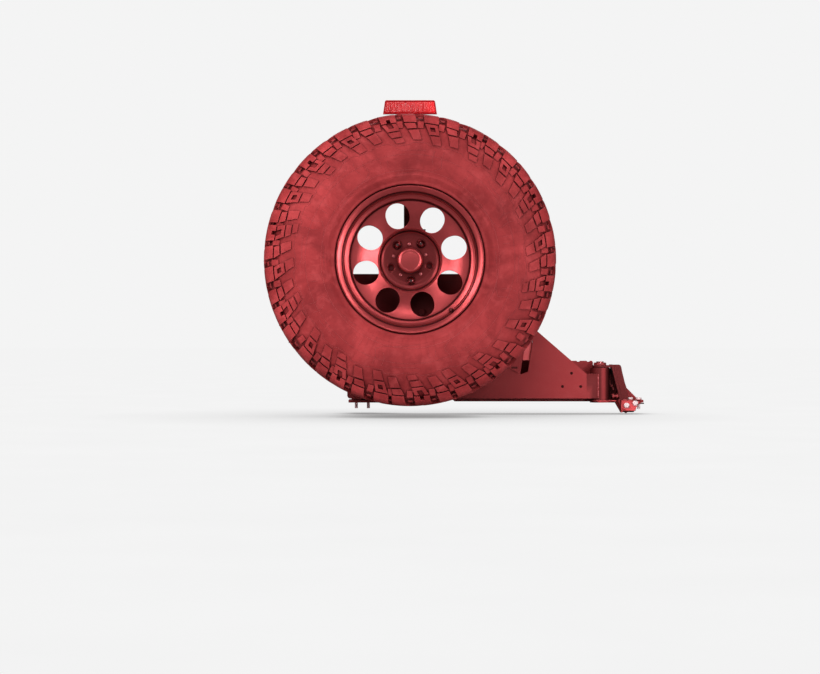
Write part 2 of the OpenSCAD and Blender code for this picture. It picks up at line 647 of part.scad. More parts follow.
// circuit board with a row of ten lamps
module light_board() color(board_green) {
  slab(-55, -53.4) translate([wheel_x - 70, light_z - 13]) square([140, 26]);
  for (i = [0 : 9]) frontward([wheel_x - 63 + i * 14, light_z], -55)
    cylinder(r = 2.5, h = 2.4, $fn = 24);
}
module light_lens() color(lens_red) {
  slab(lens_front + rib_h, housing_front) light_outline(0.6);
  // lip that sits inside the housing
  slab(housing_front, -59.2) difference() {
    light_outline(3.4);
    light_outline(5.4);
  }
  // upright ribs
  slab(lens_front, lens_front + rib_h) intersection() {
    light_outline(3);
    for (i = [0 : 27]) translate([wheel_x - 81 + i * 6, light_z0]) square([3, 60]);
  }
}
module light_cable() color(dark_red) cable_run(soft([
  [wheel_x, -52.6, light_z], [wheel_x, -40, light_z], [wheel_x, -34, light_z - 14],
  [wheel_x, -35, 800], [wheel_x + 10, -35, 620], [wheel_x + 24, 0, 596],
  [wheel_x + 30, 36, 580], [wheel_x + 30, 44, 560], [wheel_x + 30, 44, 540],
  [wheel_x + 30, 18, 540]]));

// ------------------------------------------------------------------ wheel and tyre
// Profiles are [radius, z], z running forwards.
tyre_r = tyre_d / 2;
tyre_half_w = tyre_w / 2;
tyre_mid = 12.7;                // middle of the tyre ahead of the mounting face
groove_depth = 13;              // between the shoulder lugs
// outside of one half of the tyre, from the tread's middle to the bead, z from the tyre's middle
half_outside = [[tyre_r, 0], [tyre_r, 22], [tyre_r - 13, 24], [tyre_r - 13, 32], [tyre_r, 34],
  [tyre_r - 3, 84], [tyre_r - 8, 112], [tyre_r - 15, 121], [tyre_r - 34, 134],
  [tyre_r - 60, 147], [tyre_r - 95, tyre_half_w - 3], [tyre_r - 128, tyre_half_w],
  [tyre_r - 160, tyre_half_w - 4], [262, 146], [247, 134], [240, 127], [235, 122],
  [234.8, 120.2], [230.8, 115.9], [224, 114.2], [219.6, 113.2], [218.5, 109], [218.5, 93]];
// inside of the same half, from the bead back to the middle
half_inside = [[222, 91], [236, 100], [250, 117], [268, 133], [300, 146], [340, 149],
  [372, 143], [405, 124], [426, 100], [434, 60], [436, 0]];
function flip(p) = [p[0], -p[1]];

module tyre() color(tyre_red) on_turned_wheel() translate([0, 0, tyre_mid]) difference() {
  rotate_extrude($fn = 180) polygon(concat(half_outside, half_inside,
    [for (i = [len(half_inside) - 2 : -1 : 0]) flip(half_inside[i])],
    [for (i = [len(half_outside) - 1 : -1 : 1]) flip(half_outside[i])]));
  // gaps between the shoulder lugs, staggered half a pitch between the sides
  for (side = [-1, 1], i = [0 : lug_count - 1])
    rotate([0, 0, (i + (side > 0 ? 0 : 0.5)) * 360 / lug_count])
      translate([tyre_r - groove_depth, -9, side > 0 ? 62 : -152]) cube([40, 18, 90]);
}

wheel_front = [[35.75, 18], [80, 18], [90, 24], [97, 44], [99, 48], [101, 53], [115, 59],
  [140, 69], [165, 76], [184, 79], [187.5, 81], [189.5, 90], [192, 92], [203, 100],
  [205.5, 104], [209, 112], [212, 124], [213.5, 129], [219, 136.5], [226, 139.7],
  [232, 139.7], [234.5, 137]];
// from the front flange over the tyre side of the rim, then back inside it to the hub
wheel_back = [[234.5, 133], [231, 129], [224, 127.2], [219.5, 126.2], [218.3, 122], [218, 104],
  [219.2, 101], [217, 98], [209, 95], [198, 87], [196.5, 80], [196.5, 40], [204, 20],
  [211, -12], [211.5, -68], [217, -73], [219.2, -76], [218.2, -80], [218.3, -96],
  [219.5, -100.6], [224, -101.8], [231, -103.6], [234.5, -107.6], [234.5, -112],
  [232, -114.3], [226, -114.3], [222, -112], [214, -104], [211.4, -98], [211.4, -80],
  [205.6, -66], [205, -14], [198, 16], [190.2, 38], [190.2, 66], [184, 69.5], [165, 66.5],
  [140, 59.5], [115, 49], [104, 44], [98, 36], [92, 16], [86, 5], [80, 0], [35.75, 0]];
disc_hole_place = 143.5;        // radius of the circle of large holes
disc_hole_r = 37;
disc_hole_shift = 2.8;          // half of what stretches each hole outwards
valve_angle = -51;
valve_place = 200.5;
pad_screw_place = 53;
pad_screw_angles = [for (i = [0 : 4]) 20.6 + 72 * i];

module wheel() color(wheel_red) on_turned_wheel() difference() {
  rotate_extrude($fn = 180) polygon(concat(wheel_front, wheel_back));
  // large disc holes, a little longer outwards than across
  for (i = [0 : wheel_holes - 1]) rotate([0, 0, 15.76 + i * 360 / wheel_holes])
    linear_extrude(100) union() {
      for (shift = [-disc_hole_shift, disc_hole_shift])
        translate([disc_hole_place + shift, 0]) circle(r = disc_hole_r);
      translate([disc_hole_place - disc_hole_shift, -36.9])
        square([2 * disc_hole_shift, 73.8]);
    }
  // lug holes with cone seats
  for (a = concat(stud_angles, spare_angles)) polar(a, lug_r) {
    translate([0, 0, -5]) cylinder(r = 7, h = 30);
    translate([0, 0, 4.5]) cylinder(r1 = 7, r2 = 10.9, h = 6.76);
    translate([0, 0, 11.25]) cylinder(r = 13.4, h = 20);
  }
  for (a = pad_screw_angles) polar(a, pad_screw_place, 6) cylinder(r = 3, h = 20);
  polar(valve_angle, valve_place, 60) cylinder(r = 5.7, h = 60);
}
module centre_cap() color(wheel_red) on_turned_wheel() rotate_extrude($fn = 96) polygon([
  [35.6, 4], [35.6, 18], [40, 18], [40, 52], [39, 56.5], [36, 59], [0, 59.4], [0, 57],
  [35, 56.6], [37, 54.8], [37.6, 52], [37.6, 20], [33.6, 20], [33.6, 4]]);
module pad_screws() color(bright_red) on_turned_wheel()
  for (a = pad_screw_angles) polar(a, pad_screw_place) difference() {
    union() {
      translate([0, 0, 8]) cylinder(r = 3, h = 10);
      translate([0, 0, 18]) rotate_extrude()
        polygon([[0, 0], [5.6, 0], [5.6, 1.2], [4.6, 2.8], [2.6, 3.6], [0, 3.8]]);
    }
    translate([0, 0, 19.6]) hexagon(4, 5);
  }
module valve_stem() color(dark_red) on_turned_wheel() polar(valve_angle, valve_place)
  difference() {
    rotate_extrude() polygon([[0, 80], [5.6, 81], [5.7, 84], [5.7, 104], [5, 106],
      [3.9, 112], [3.9, 122], [0, 122]]);
    translate([0, 0, 100]) cylinder(r = 1.2, h = 30);
  }
module valve_cap() color(dark_red) on_turned_wheel() polar(valve_angle, valve_place)
  difference() {
    rotate_extrude() polygon([[0, 113], [4.9, 113], [4.9, 125], [4, 126.4], [0, 126.4]]);
    translate([0, 0, 112]) cylinder(r = 3.95, h = 11);
  }
// acorn lug nut with a cone seat
module lug_nut(angle) color(bright_red) at_wheel() polar(angle, lug_r) difference() {
  union() {
    translate([0, 0, 5.2]) cylinder(r1 = 7.1, r2 = 10.6, h = 6.2);
    intersection() {
      translate([0, 0, 11.3]) hexagon(21, 26);
      union() {
        translate([0, 0, 11.3]) cylinder(r1 = 11.4, r2 = 12.6, h = 2);
        translate([0, 0, 13.3]) cylinder(r = 12.6, h = 13);
        translate([0, 0, 26.3]) cylinder(r1 = 12.6, r2 = 8.6, h = 5);
        translate([0, 0, 31.3]) cylinder(r1 = 8.6, r2 = 4, h = 3.4);
      }
    }
  }
  translate([0, 0, -1]) cylinder(r = stud_r + 0.06, h = 30);
}
module lug_nut_1() lug_nut(stud_angles[0]);
module lug_nut_2() lug_nut(stud_angles[1]);
module lug_nut_3() lug_nut(stud_angles[2]);

hinge_foot();
hinge_side_plate();
hinge_front_plate();
hinge_gusset();
hinge_ear();
foot_bolts();
foot_washers();
spindle();
spindle_spacer();
spindle_nut();
spindle_cotter();
bearing_cones();
bearing_rollers();
stop_bolt();
striker_base();
striker_upright();
striker_pin();
striker_bolts();
rest_pad();
pivot_tube();
bearing_cups();
grease_seals();
grease_fitting();
arm_tube();
arm_face_plate();
arm_rear_plate();
arm_end_plate();
mast();
mast_cap();
mount_doubler();
mount_bolts();
standoff();
standoff_gusset();
wheel_mount_plate();
wheel_studs();
latch_housing();
latch_pin();
latch_bolts();
hook_spring();
latch_hook();
handle_bracket();
handle_pin();
handle_spring();
latch_handle();
release_cable();
light_stalk();
stalk_screws();
light_housing();
light_board();
light_lens();
light_cable();
tyre();
wheel();
centre_cap();
pad_screws();
valve_stem();
valve_cap();
lug_nut_1();
lug_nut_2();
lug_nut_3();
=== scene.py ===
# A swing-out spare wheel carrier: a hinge tower on a foot, an arm running towards -X from the
# pivot tube, a mast carrying the spare wheel, and a brake light above it. Metres, +Z up; the
# wheel's axle lies along Y and its outer face looks towards -Y, where the camera stands.
# Tables and section dimensions are in millimetres unless they say otherwise.
import bpy
import bmesh
import json
import math
import random
from bisect import bisect_right
from functools import cached_property
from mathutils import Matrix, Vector


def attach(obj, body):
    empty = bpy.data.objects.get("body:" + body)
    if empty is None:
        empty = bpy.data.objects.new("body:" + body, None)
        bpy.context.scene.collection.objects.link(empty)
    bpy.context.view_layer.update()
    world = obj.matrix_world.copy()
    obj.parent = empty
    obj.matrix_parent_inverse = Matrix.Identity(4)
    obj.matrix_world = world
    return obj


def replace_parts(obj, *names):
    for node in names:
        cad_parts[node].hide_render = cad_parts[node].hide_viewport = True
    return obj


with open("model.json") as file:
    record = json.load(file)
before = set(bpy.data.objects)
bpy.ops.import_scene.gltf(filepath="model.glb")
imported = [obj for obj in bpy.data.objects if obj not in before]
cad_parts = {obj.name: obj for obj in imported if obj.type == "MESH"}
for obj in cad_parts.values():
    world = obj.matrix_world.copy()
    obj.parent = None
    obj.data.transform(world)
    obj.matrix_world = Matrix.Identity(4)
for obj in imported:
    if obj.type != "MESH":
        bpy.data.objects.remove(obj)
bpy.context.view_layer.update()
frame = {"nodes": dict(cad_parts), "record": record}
NODES = frame["nodes"]
scene = bpy.context.scene
random.seed(11)

MM = 0.001
AXLE = Vector((-0.735, -0.2267, 0.455))     # middle of the tyre, metres
WHEEL_Y = -0.214                            # the wheel's mounting face, metres
STUD_CIRCLE = 63.5                          # radius of the ring of studs
STUD_COUNT = 5
STUD_ANGLE = 56.8                           # angle of the first stud, degrees
STUD_PITCH = 360 // STUD_COUNT
LENS_BOTTOM, LENS_TOP = 937.5, 982.5
LENS_X = -735.0                             # middle of the brake light
AMBIENT = 0.26                              # strength of the even fill
BACKDROP = 0.905                            # grey seen by the camera behind the object
ROOM = 0.07                                 # strength of the room seen in reflections


# ------------------------------------------------------------------ shader building
class Wire:
    """An output socket; arithmetic and the methods below add nodes fed by it."""
    def __init__(self, shader, socket):
        self.shader = shader
        self.socket = socket

    def __add__(self, other):
        return self.shader.calc("ADD", self, other)

    def __radd__(self, other):
        return self.shader.calc("ADD", other, self)

    def __sub__(self, other):
        return self.shader.calc("SUBTRACT", self, other)

    def __mul__(self, other):
        return self.shader.calc("MULTIPLY", self, other)

    def ramp(self, stops):
        """Colour ramp through (position, grey or colour) stops."""
        node = self.shader.node("ShaderNodeValToRGB", {"Fac": self})
        elements = node.color_ramp.elements
        while len(elements) < len(stops):
            elements.new(0.5)
        for element, (position, tone) in zip(elements, stops):
            element.position = position
            colour = (tone,) * 3 if isinstance(tone, (int, float)) else tone
            element.color = (*colour, 1)
        return Wire(self.shader, node.outputs["Color"])

    def fade(self, over, to=(0.0, 1.0)):
        """Two-stop ramp: the positions in over give the tones in to."""
        return self.ramp(list(zip(over, to)))

    def toward(self, colour, by):
        return self.shader.mix(by, self, colour)

    def times(self, colour):
        return self.shader.mix(1.0, self, colour, "MULTIPLY")

    def bump(self, strength, distance):
        return self.shader.add("ShaderNodeBump", "Normal",
                               {"Strength": strength, "Distance": distance, "Height": self})


class Shader:
    """Builds the node tree of a material or world."""
    def __init__(self, owner):
        self.owner = owner
        owner.use_nodes = True
        self.tree = owner.node_tree
        self.tree.nodes.clear()

    def node(self, kind, inputs=None, **settings):
        """New node; inputs maps socket names or numbers to wires or values."""
        node = self.tree.nodes.new(kind)
        for key, value in settings.items():
            setattr(node, key, value)
        for key, value in (inputs or {}).items():
            socket = node.inputs[key]
            if isinstance(value, Wire):
                self.tree.links.new(value.socket, socket)
            elif socket.type == "RGBA":
                socket.default_value = (*value, 1)
            else:
                socket.default_value = value
        return node

    def add(self, kind, output, inputs=None, **settings):
        return Wire(self, self.node(kind, inputs, **settings).outputs[output])

    @cached_property
    def object_space(self):
        return self.add("ShaderNodeTexCoord", "Object")

    def calc(self, operation, *values, clamp=False):
        return self.add("ShaderNodeMath", 0, dict(enumerate(values)),
                        operation=operation, use_clamp=clamp)

    def length(self, x, y):
        return self.calc("SQRT", x * x + y * y)

    def mix(self, factor, first, second, blend="MIX"):
        return self.add("ShaderNodeMix", 2, {0: factor, 6: first, 7: second},
                        data_type="RGBA", blend_type=blend)

    def noise(self, scale, detail=3.0, roughness=0.55, at=None, distortion=0.0):
        return self.add("ShaderNodeTexNoise", "Fac", {
            "Scale": scale, "Detail": detail, "Roughness": roughness,
            "Distortion": distortion, "Vector": at or self.object_space})

    def voronoi(self, scale):
        return self.add("ShaderNodeTexVoronoi", "Distance",
                        {"Scale": scale, "Vector": self.object_space})

    def mapped(self, **changes):
        """Object space with a new Location or Scale."""
        return self.add("ShaderNodeMapping", "Vector", {**changes, "Vector": self.object_space})

    def separate(self, vector):
        node = self.node("ShaderNodeSeparateXYZ", {0: vector})
        return [Wire(self, output) for output in node.outputs]

    def about_axle(self):
        """x, y, z from the middle of the tyre, and the radius about the axle, metres."""
        x, y, z = self.separate(self.mapped(Location=(-AXLE.x, -AXLE.y, -AXLE.z)))
        return x, y, z, self.length(x, z)

    def facing(self, axis):
        """One component of the surface normal, -1 to 1."""
        return self.separate(self.add("ShaderNodeNewGeometry", "Normal"))[axis]

    def occluded(self, distance, over, samples=4):
        """1 deep inside gaps, 0 in the open."""
        light = self.add("ShaderNodeAmbientOcclusion", "AO", {"Distance": distance},
                         samples=samples)
        return light.fade(over, to=(1.0, 0.0))

    def edges(self, radius):
        """0 on flats, towards 1 near convex or concave edges."""
        soft = self.add("ShaderNodeBevel", "Normal", {"Radius": radius}, samples=4)
        true = self.add("ShaderNodeNewGeometry", "Normal")
        match = self.add("ShaderNodeVectorMath", "Value", {0: soft, 1: true},
                         operation="DOT_PRODUCT")
        return self.calc("SUBTRACT", 1.0, match, clamp=True)

    def light_path(self):
        """Wires that are 1 for camera rays and for glossy rays."""
        node = self.node("ShaderNodeLightPath")
        return [Wire(self, node.outputs[name]) for name in ("Is Camera Ray", "Is Glossy Ray")]

    def finish(self, colour, roughness, normal, others):
        """Principled surface; others holds any further inputs. Returns the material."""
        surface = self.add("ShaderNodeBsdfPrincipled", "BSDF", {
            "Base Color": colour, "Roughness": roughness, "Normal": normal, **others})
        self.node("ShaderNodeOutputMaterial", {"Surface": surface})
        return self.owner


def new_shader(name):
    return Shader(bpy.data.materials.new(name))


def shade(colour, factor, lift=0.0):
    return tuple(min(1, v * factor + lift) for v in colour)


# ------------------------------------------------------------------ materials
def coat(name="powder_coat", tone=1.0, turn=None, leaf=False):
    """Fine-texture powder coat, lightly dusty, with painted shade deep in gaps and a painted
    shadow behind the wheel. tone below 1 darkens it all as painted shade; turn holds painted light
    and shade tones by sideways facing, 0 for -X to 1 for +X; leaf paints a highlight on faces
    turned both up and to the front."""
    shader = new_shader(name)
    patches = shader.noise(scale=5.0, detail=4, roughness=0.6)
    dust = shader.noise(scale=38.0, detail=5, roughness=0.6)
    fine = shader.noise(scale=1300.0, detail=2, roughness=0.5)
    grain = shader.voronoi(scale=900.0)
    colour = patches.fade(over=(0.30, 0.70), to=((0.360, 0.036, 0.040), (0.440, 0.048, 0.052)))
    colour = colour.toward((0.44, 0.075, 0.078), by=dust.fade(over=(0.50, 0.80)) * 0.30)
    colour = colour.toward((0.22, 0.022, 0.024), by=grain.fade(over=(0.0, 0.5), to=(0.0, 0.22)))
    wear = shader.edges(radius=0.0016).fade(over=(0.05, 0.35))
    wear *= shader.noise(scale=60.0, detail=4, roughness=0.7).fade(over=(0.42, 0.62))
    colour = colour.toward((0.62, 0.15, 0.155), by=wear * 0.38)
    # painted shade, darker deep in gaps and under things
    gaps = shader.occluded(distance=0.22, over=(0.10, 0.58))
    colour = colour.toward((0.020, 0.001, 0.001), by=gaps * 0.78)
    # painted shadow of the wheel, darker on what lies within its radius behind it
    radius = shader.about_axle()[3]
    colour = colour.times(radius.fade(over=(0.150, 0.240), to=(0.30, 1.0)))
    # painted light and shade by facing: turn lightens or darkens faces by how far they turn to +X,
    # and leaf is a painted highlight on faces turned up and to the front
    if turn:
        colour = colour.times((shader.facing(0) * 0.5 + 0.5).ramp(turn))
    if leaf:
        front = (shader.facing(1) * -1.0).fade(over=(0.30, 0.50))
        up = shader.facing(2).fade(over=(0.30, 0.50))
        colour = colour.toward((0.80, 0.100, 0.108), by=front * up * 0.72)
    # tone below 1 is painted shade over the whole coat
    if tone != 1.0:
        colour = colour.times((tone, tone, tone))
    return shader.finish(
        colour, dust.fade(over=(0.3, 0.8), to=(0.46, 0.60)),
        (fine * 0.55 + grain * 0.9).bump(strength=0.33, distance=0.0006),
        {"Specular IOR Level": 0.42, "Specular Tint": (1.0, 0.42, 0.42)})


def weld_metal():
    shader = new_shader("weld_bead")
    spots = shader.noise(scale=210, detail=4, roughness=0.6).fade(over=(0.44, 0.58))
    return shader.finish(
        shader.mix(spots, (0.26, 0.026, 0.029), (0.62, 0.135, 0.140)), 0.42,
        shader.noise(scale=900).bump(strength=0.3, distance=0.0005),
        {"Specular Tint": (1.0, 0.45, 0.45)})


def plated(name, base, rough, metal=0.9, seat_shade=0.0):
    """Plated or ground metal; seat sets how far painted shade darkens contact gaps."""
    shader = new_shader(name)
    cloud = shader.noise(scale=70.0, detail=5, roughness=0.65)
    scratches = shader.noise(scale=520.0, roughness=0.6, at=shader.mapped(Scale=(1, 7, 1)))
    colour = shader.mix(cloud.fade(over=(0.35, 0.75), to=(0.0, 0.55)), base, shade(base, 0.55))
    edges = shader.edges(radius=0.0012).fade(over=(0.05, 0.4))
    colour = colour.toward(shade(base, 1.5), by=edges * 0.35)
    if seat_shade:
        # painted shade in contact gaps under heads and washers
        gaps = shader.occluded(distance=0.005, over=(0.45, 0.92), samples=6)
        colour = colour.toward((0.16, 0.010, 0.011), by=gaps * seat_shade)
    polish = (cloud * 0.6 + scratches * 0.4).fade(over=(0.3, 0.75),
                                                  to=(rough * 0.75, rough * 1.5))
    return shader.finish(colour, polish, scratches.bump(strength=0.12, distance=0.0004),
                         {"Metallic": metal})


def rubber(name, base, dusty=0.35):
    shader = new_shader(name)
    dust = shader.noise(scale=14, detail=5, roughness=0.6).fade(over=(0.4, 0.75)) * dusty
    fine = shader.noise(scale=700, roughness=0.6)
    return shader.finish(
        shader.mix(dust, base, shade(base, 1.9, lift=0.02)),
        fine.fade(over=(0.3, 0.8), to=(0.62, 0.82)), fine.bump(strength=0.25, distance=0.0006),
        {"Specular IOR Level": 0.35, "Specular Tint": (1.0, 0.4, 0.4)})


def tyre_rubber():
    """Mottled and scuffed, with painted shade in the low places, painted highlights on block
    edges, painted light and shade varying round the tyre, and radial streaks on the sidewall.
    """
    shader = new_shader("tyre_rubber")
    x, y, z, radius = shader.about_axle()
    angle = shader.calc("ARCTAN2", z, x)
    # polar space, stretched along the radius
    polar = shader.add("ShaderNodeCombineXYZ", "Vector", {
        0: radius * 4.0,
        1: shader.calc("SINE", angle) * 9.0,
        2: shader.calc("COSINE", angle) * 9.0})
    streaks = shader.noise(scale=3.0, detail=5, roughness=0.62, at=polar)
    cloud = shader.noise(scale=7.0, detail=6, roughness=0.62, distortion=0.6)
    blotches = shader.noise(scale=26.0, detail=5, roughness=0.62, distortion=0.3)
    specks = shader.noise(scale=420.0, detail=4, roughness=0.65)
    colour = cloud.ramp([(0.30, (0.250, 0.020, 0.023)), (0.50, (0.400, 0.037, 0.040)),
                         (0.70, (0.590, 0.062, 0.066))])
    colour = colour.toward((0.235, 0.020, 0.022), by=streaks.fade(over=(0.50, 0.78)) * 0.42)
    colour = colour.toward((0.64, 0.090, 0.094), by=blotches.fade(over=(0.50, 0.72)) * 0.50)
    colour = colour.toward((0.22, 0.018, 0.02),
                           by=specks.fade(over=(0.30, 0.48), to=(1.0, 0.0)) * 0.30)
    # painted highlight along the block edges
    edges = shader.edges(radius=0.0025).fade(over=(0.04, 0.4))
    colour = colour.toward((0.92, 0.170, 0.176), by=edges * 0.68)
    # painted light and shade varying round the tyre, and the plain sidewall is darker than the
    # tread blocks
    one_lobe = shader.calc("COSINE", angle - 3.49) * 0.075
    two_lobes = shader.calc("COSINE", angle * 2.0 - 5.934) * 0.055
    level = one_lobe + two_lobes + radius.fade(over=(0.385, 0.430), to=(0.620, 0.78))
    colour = colour.times(level.fade(over=(0.0, 1.0)))
    # painted shade in the low places between blocks
    gaps = shader.occluded(distance=0.016, over=(0.34, 0.94))
    colour = colour.toward((0.036, 0.002, 0.003), by=gaps * 0.88)
    return shader.finish(
        colour, blotches.fade(over=(0.3, 0.8), to=(0.56, 0.74)),
        (specks * 0.6 + blotches * 0.5).bump(strength=0.30, distance=0.0012),
        {"Specular IOR Level": 0.38, "Specular Tint": (1.0, 0.42, 0.42)})


# painted light and shade by radius in metres: painted shade in the turned steps, painted
# highlights on their lips, and the hub darker than the dish as painted shade
PAINTED_RING_TONES = [
    (0.0885, 0.42), (0.0900, 0.90), (0.0916, 0.90), (0.0924, 0.05), (0.0956, 0.05),
    (0.0964, 0.85), (0.0982, 0.85), (0.0990, 0.40), (0.1000, 1.0), (0.1030, 1.0),
    (0.1045, 0.84), (0.1862, 0.84), (0.1874, 0.05), (0.1910, 0.05), (0.1918, 1.0),
    (0.1932, 0.88), (0.2042, 0.88), (0.2051, 0.08), (0.2064, 0.08), (0.2072, 1.0),
    (0.2096, 1.0), (0.2102, 0.08), (0.2115, 0.08), (0.2126, 0.95), (0.2270, 0.88),
    (0.2305, 0.55)]
# painted shade in the pocket round each stud
STUD_POCKET_SHADE_TONES = [(0.0110, 0.10), (0.0124, 0.22), (0.0136, 1.0)]    # by distance from a stud, metres
STUDS_PER_RADIAN = 0.7957747
RADIANS_PER_STUD = 1.2566371


def turned_face(shader, colour):
    """Painted shade and highlight rings, and painted shade round each stud, on the part of the
    wheel in front of its sloping dish.
    """
    x, y, z, radius = shader.about_axle_wires
    slope = shader.calc("MAXIMUM", radius - 0.105, 0.0) * 0.62
    front = shader.calc("LESS_THAN", y + 0.004 + slope, 0.0)
    tone = radius.ramp(PAINTED_RING_TONES)
    # fold the angle so that every stud lies on one axis
    turns = shader.calc("ARCTAN2", z, x) * STUDS_PER_RADIAN + (10.5 - STUD_ANGLE / STUD_PITCH)
    fold = (shader.calc("FRACT", turns) - 0.5) * RADIANS_PER_STUD
    along = radius * shader.calc("COSINE", fold) - STUD_CIRCLE * MM
    aside = radius * shader.calc("SINE", fold)
    tone = tone.times(shader.length(along, aside).ramp(STUD_POCKET_SHADE_TONES))
    return colour.toward(colour.times(tone), by=front)


def alloy(name, base, rings=False):
    """Satin machined aluminium with fine turning lines round the axle, painted shade in its gaps
    and recesses, and with rings, the painted rings and stud shade of turned_face.
    """
    shader = new_shader(name)
    shader.about_axle_wires = shader.about_axle()
    x, y, z, radius = shader.about_axle_wires
    across = shader.add("ShaderNodeCombineXYZ", "Vector", {0: radius, 1: y * 1.0})
    lines = shader.noise(scale=1500.0, detail=2, roughness=0.5, at=across)
    cloud = shader.noise(scale=24.0, detail=5, roughness=0.62)
    colour = shader.mix(cloud.fade(over=(0.35, 0.75)), base, shade(base, 0.78))
    colour = colour.toward(shade(base, 0.6), by=lines * 0.16)
    if rings:
        colour = turned_face(shader, colour)
    # painted shade: small gaps, then the deep recesses
    for distance, over, amount in ((0.010, (0.40, 0.85), 0.70), (0.20, (0.10, 0.48), 0.92)):
        gaps = shader.occluded(distance, over)
        colour = colour.toward((0.03, 0.002, 0.003), by=gaps * amount)
    return shader.finish(
        colour, (cloud * 0.5 + lines * 0.5).fade(over=(0.3, 0.7), to=(0.27, 0.38)),
        lines.bump(strength=0.10, distance=0.0003), {"Metallic": 0.88})


def plastic(name, base, rough):
    shader = new_shader(name)
    cloud = shader.noise(scale=30, detail=4, roughness=0.6)
    return shader.finish(
        shader.mix(cloud.fade(over=(0.35, 0.75), to=(0.0, 0.5)), base, shade(base, 0.6)),
        cloud.fade(over=(0.3, 0.8), to=(rough * 0.85, rough * 1.2)),
        shader.voronoi(scale=1100).bump(strength=0.18, distance=0.0004),
        {"Specular Tint": (1.0, 0.45, 0.45)})


def lens_plastic():
    """Red lens over vertical flutes, with painted light on it: uneven pale streaks where the
    flutes catch light.
    """
    shader = new_shader("lamp_lens")
    streaks = shader.noise(scale=34.0, roughness=0.6, at=shader.mapped(Scale=(5.2, 1, 0.55)))
    cloud = shader.noise(scale=16.0, roughness=0.5)
    colour = streaks.ramp([(0.34, (0.34, 0.008, 0.011)), (0.50, (0.48, 0.018, 0.022)),
                           (0.66, (0.60, 0.058, 0.062))])
    colour = colour.toward((0.64, 0.024, 0.028), by=cloud.fade(over=(0.45, 0.7)) * 0.45)
    x, y, z = shader.separate(shader.mapped(Location=(-AXLE.x, 0, -LENS_BOTTOM * MM)))
    # a painted shadow of the board as a dark bar low in the middle, and a brighter +X end
    bar_x = shader.calc("ABSOLUTE", x + 0.004).fade(over=(0.036, 0.040), to=(1.0, 0.0))
    bar_z = shader.calc("ABSOLUTE", z - 0.0075).fade(over=(0.0012, 0.0030), to=(1.0, 0.0))
    colour = colour.toward((0.36, 0.003, 0.006), by=bar_x * bar_z * 0.75)
    colour = colour.toward((0.80, 0.020, 0.024), by=x.fade(over=(0.045, 0.075)) * 0.7)
    # painted shade in small gaps
    gaps = shader.occluded(distance=0.005, over=(0.4, 0.9))
    colour = colour.toward((0.20, 0.002, 0.005), by=gaps * 0.35)
    ripple = shader.noise(scale=260, detail=2, roughness=0.5)
    return shader.finish(colour, 0.20, ripple.bump(strength=0.08, distance=0.0005), {
        "Subsurface Weight": 0.15, "Subsurface Radius": (0.004, 0.0006, 0.0006),
        "IOR": 1.49, "Specular IOR Level": 0.30,
        "Coat Weight": 0.08, "Coat Roughness": 0.08,
        "Emission Color": colour, "Emission Strength": 0.10})


# powder coat far brighter than the coat elsewhere: painted light on the lit finger plate, brighter
# still on its edges
def paddle_coat_painted_light():
    shader = new_shader("paddle_coat_painted_light")
    colour = shader.noise(scale=30, detail=4, roughness=0.6).fade(
        over=(0.3, 0.7), to=((0.80, 0.092, 0.098), (0.93, 0.125, 0.13)))
    colour = colour.toward((0.98, 0.32, 0.33), by=shader.edges(radius=0.0012) * 0.4)
    return shader.finish(colour, 0.42,
                         shader.voronoi(scale=900).bump(strength=0.25, distance=0.0005), {})


MATERIALS = {
    "coat": coat(),
    "plated": plated("zinc_plate", (0.98, 0.54, 0.55), rough=0.26, metal=0.25),
    "bearing_steel": plated("ground_steel", (0.72, 0.26, 0.27), rough=0.20),
    "nut_chrome": plated("nut_black_chrome", (0.62, 0.22, 0.23), rough=0.14),
    "spring": plated("spring_steel", (0.32, 0.08, 0.085), rough=0.35),
    "tread_rubber": tyre_rubber(),
    "soft_rubber": rubber("soft_rubber", (0.085, 0.010, 0.011)),
    "alloy": alloy("wheel_alloy", (0.74, 0.100, 0.106), rings=True),
    "lamp_body": plastic("lamp_housing", (0.52, 0.022, 0.026), rough=0.35),
    "lamp_board": plastic("lamp_board", (0.10, 0.05, 0.02), rough=0.5),
    "lamp_lens": lens_plastic(),
}
WELD = weld_metal()


# ------------------------------------------------------------------ mesh and modifier helpers
def add_modifier(obj, name, kind, **settings):
    modifier = obj.modifiers.new(name, kind)
    for key, value in settings.items():
        setattr(modifier, key, value)


def bevel_edges(obj, width, segments=2, angle=38, **settings):
    add_modifier(obj, "edge", "BEVEL", width=width, segments=segments, limit_method="ANGLE",
                 angle_limit=math.radians(angle), use_clamp_overlap=True, **settings)


def weight_normals(obj, weight=50, keep_sharp=False, **settings):
    add_modifier(obj, "shade", "WEIGHTED_NORMAL", weight=weight, keep_sharp=keep_sharp,
                 **settings)


def add_mesh(name, verts, faces, material, body, sharp, slot):
    """Smooth-shaded mesh object riding on a body; edges over sharp degrees stay crisp."""
    mesh = bpy.data.meshes.new(name)
    mesh.from_pydata([tuple(v) for v in verts], [], faces)
    mesh.validate()
    bm = bmesh.new()
    bm.from_mesh(mesh)
    bmesh.ops.remove_doubles(bm, verts=bm.verts, dist=1e-6)
    bmesh.ops.recalc_face_normals(bm, faces=bm.faces)
    bm.to_mesh(mesh)
    bm.free()
    mesh.polygons.foreach_set("use_smooth", [True] * len(mesh.polygons))
    if sharp:
        mesh.set_sharp_from_angle(angle=math.radians(sharp))
    obj = bpy.data.objects.new(name, mesh)
    scene.collection.objects.link(obj)
    mesh.materials.append(material)
    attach(obj, body)
    return obj


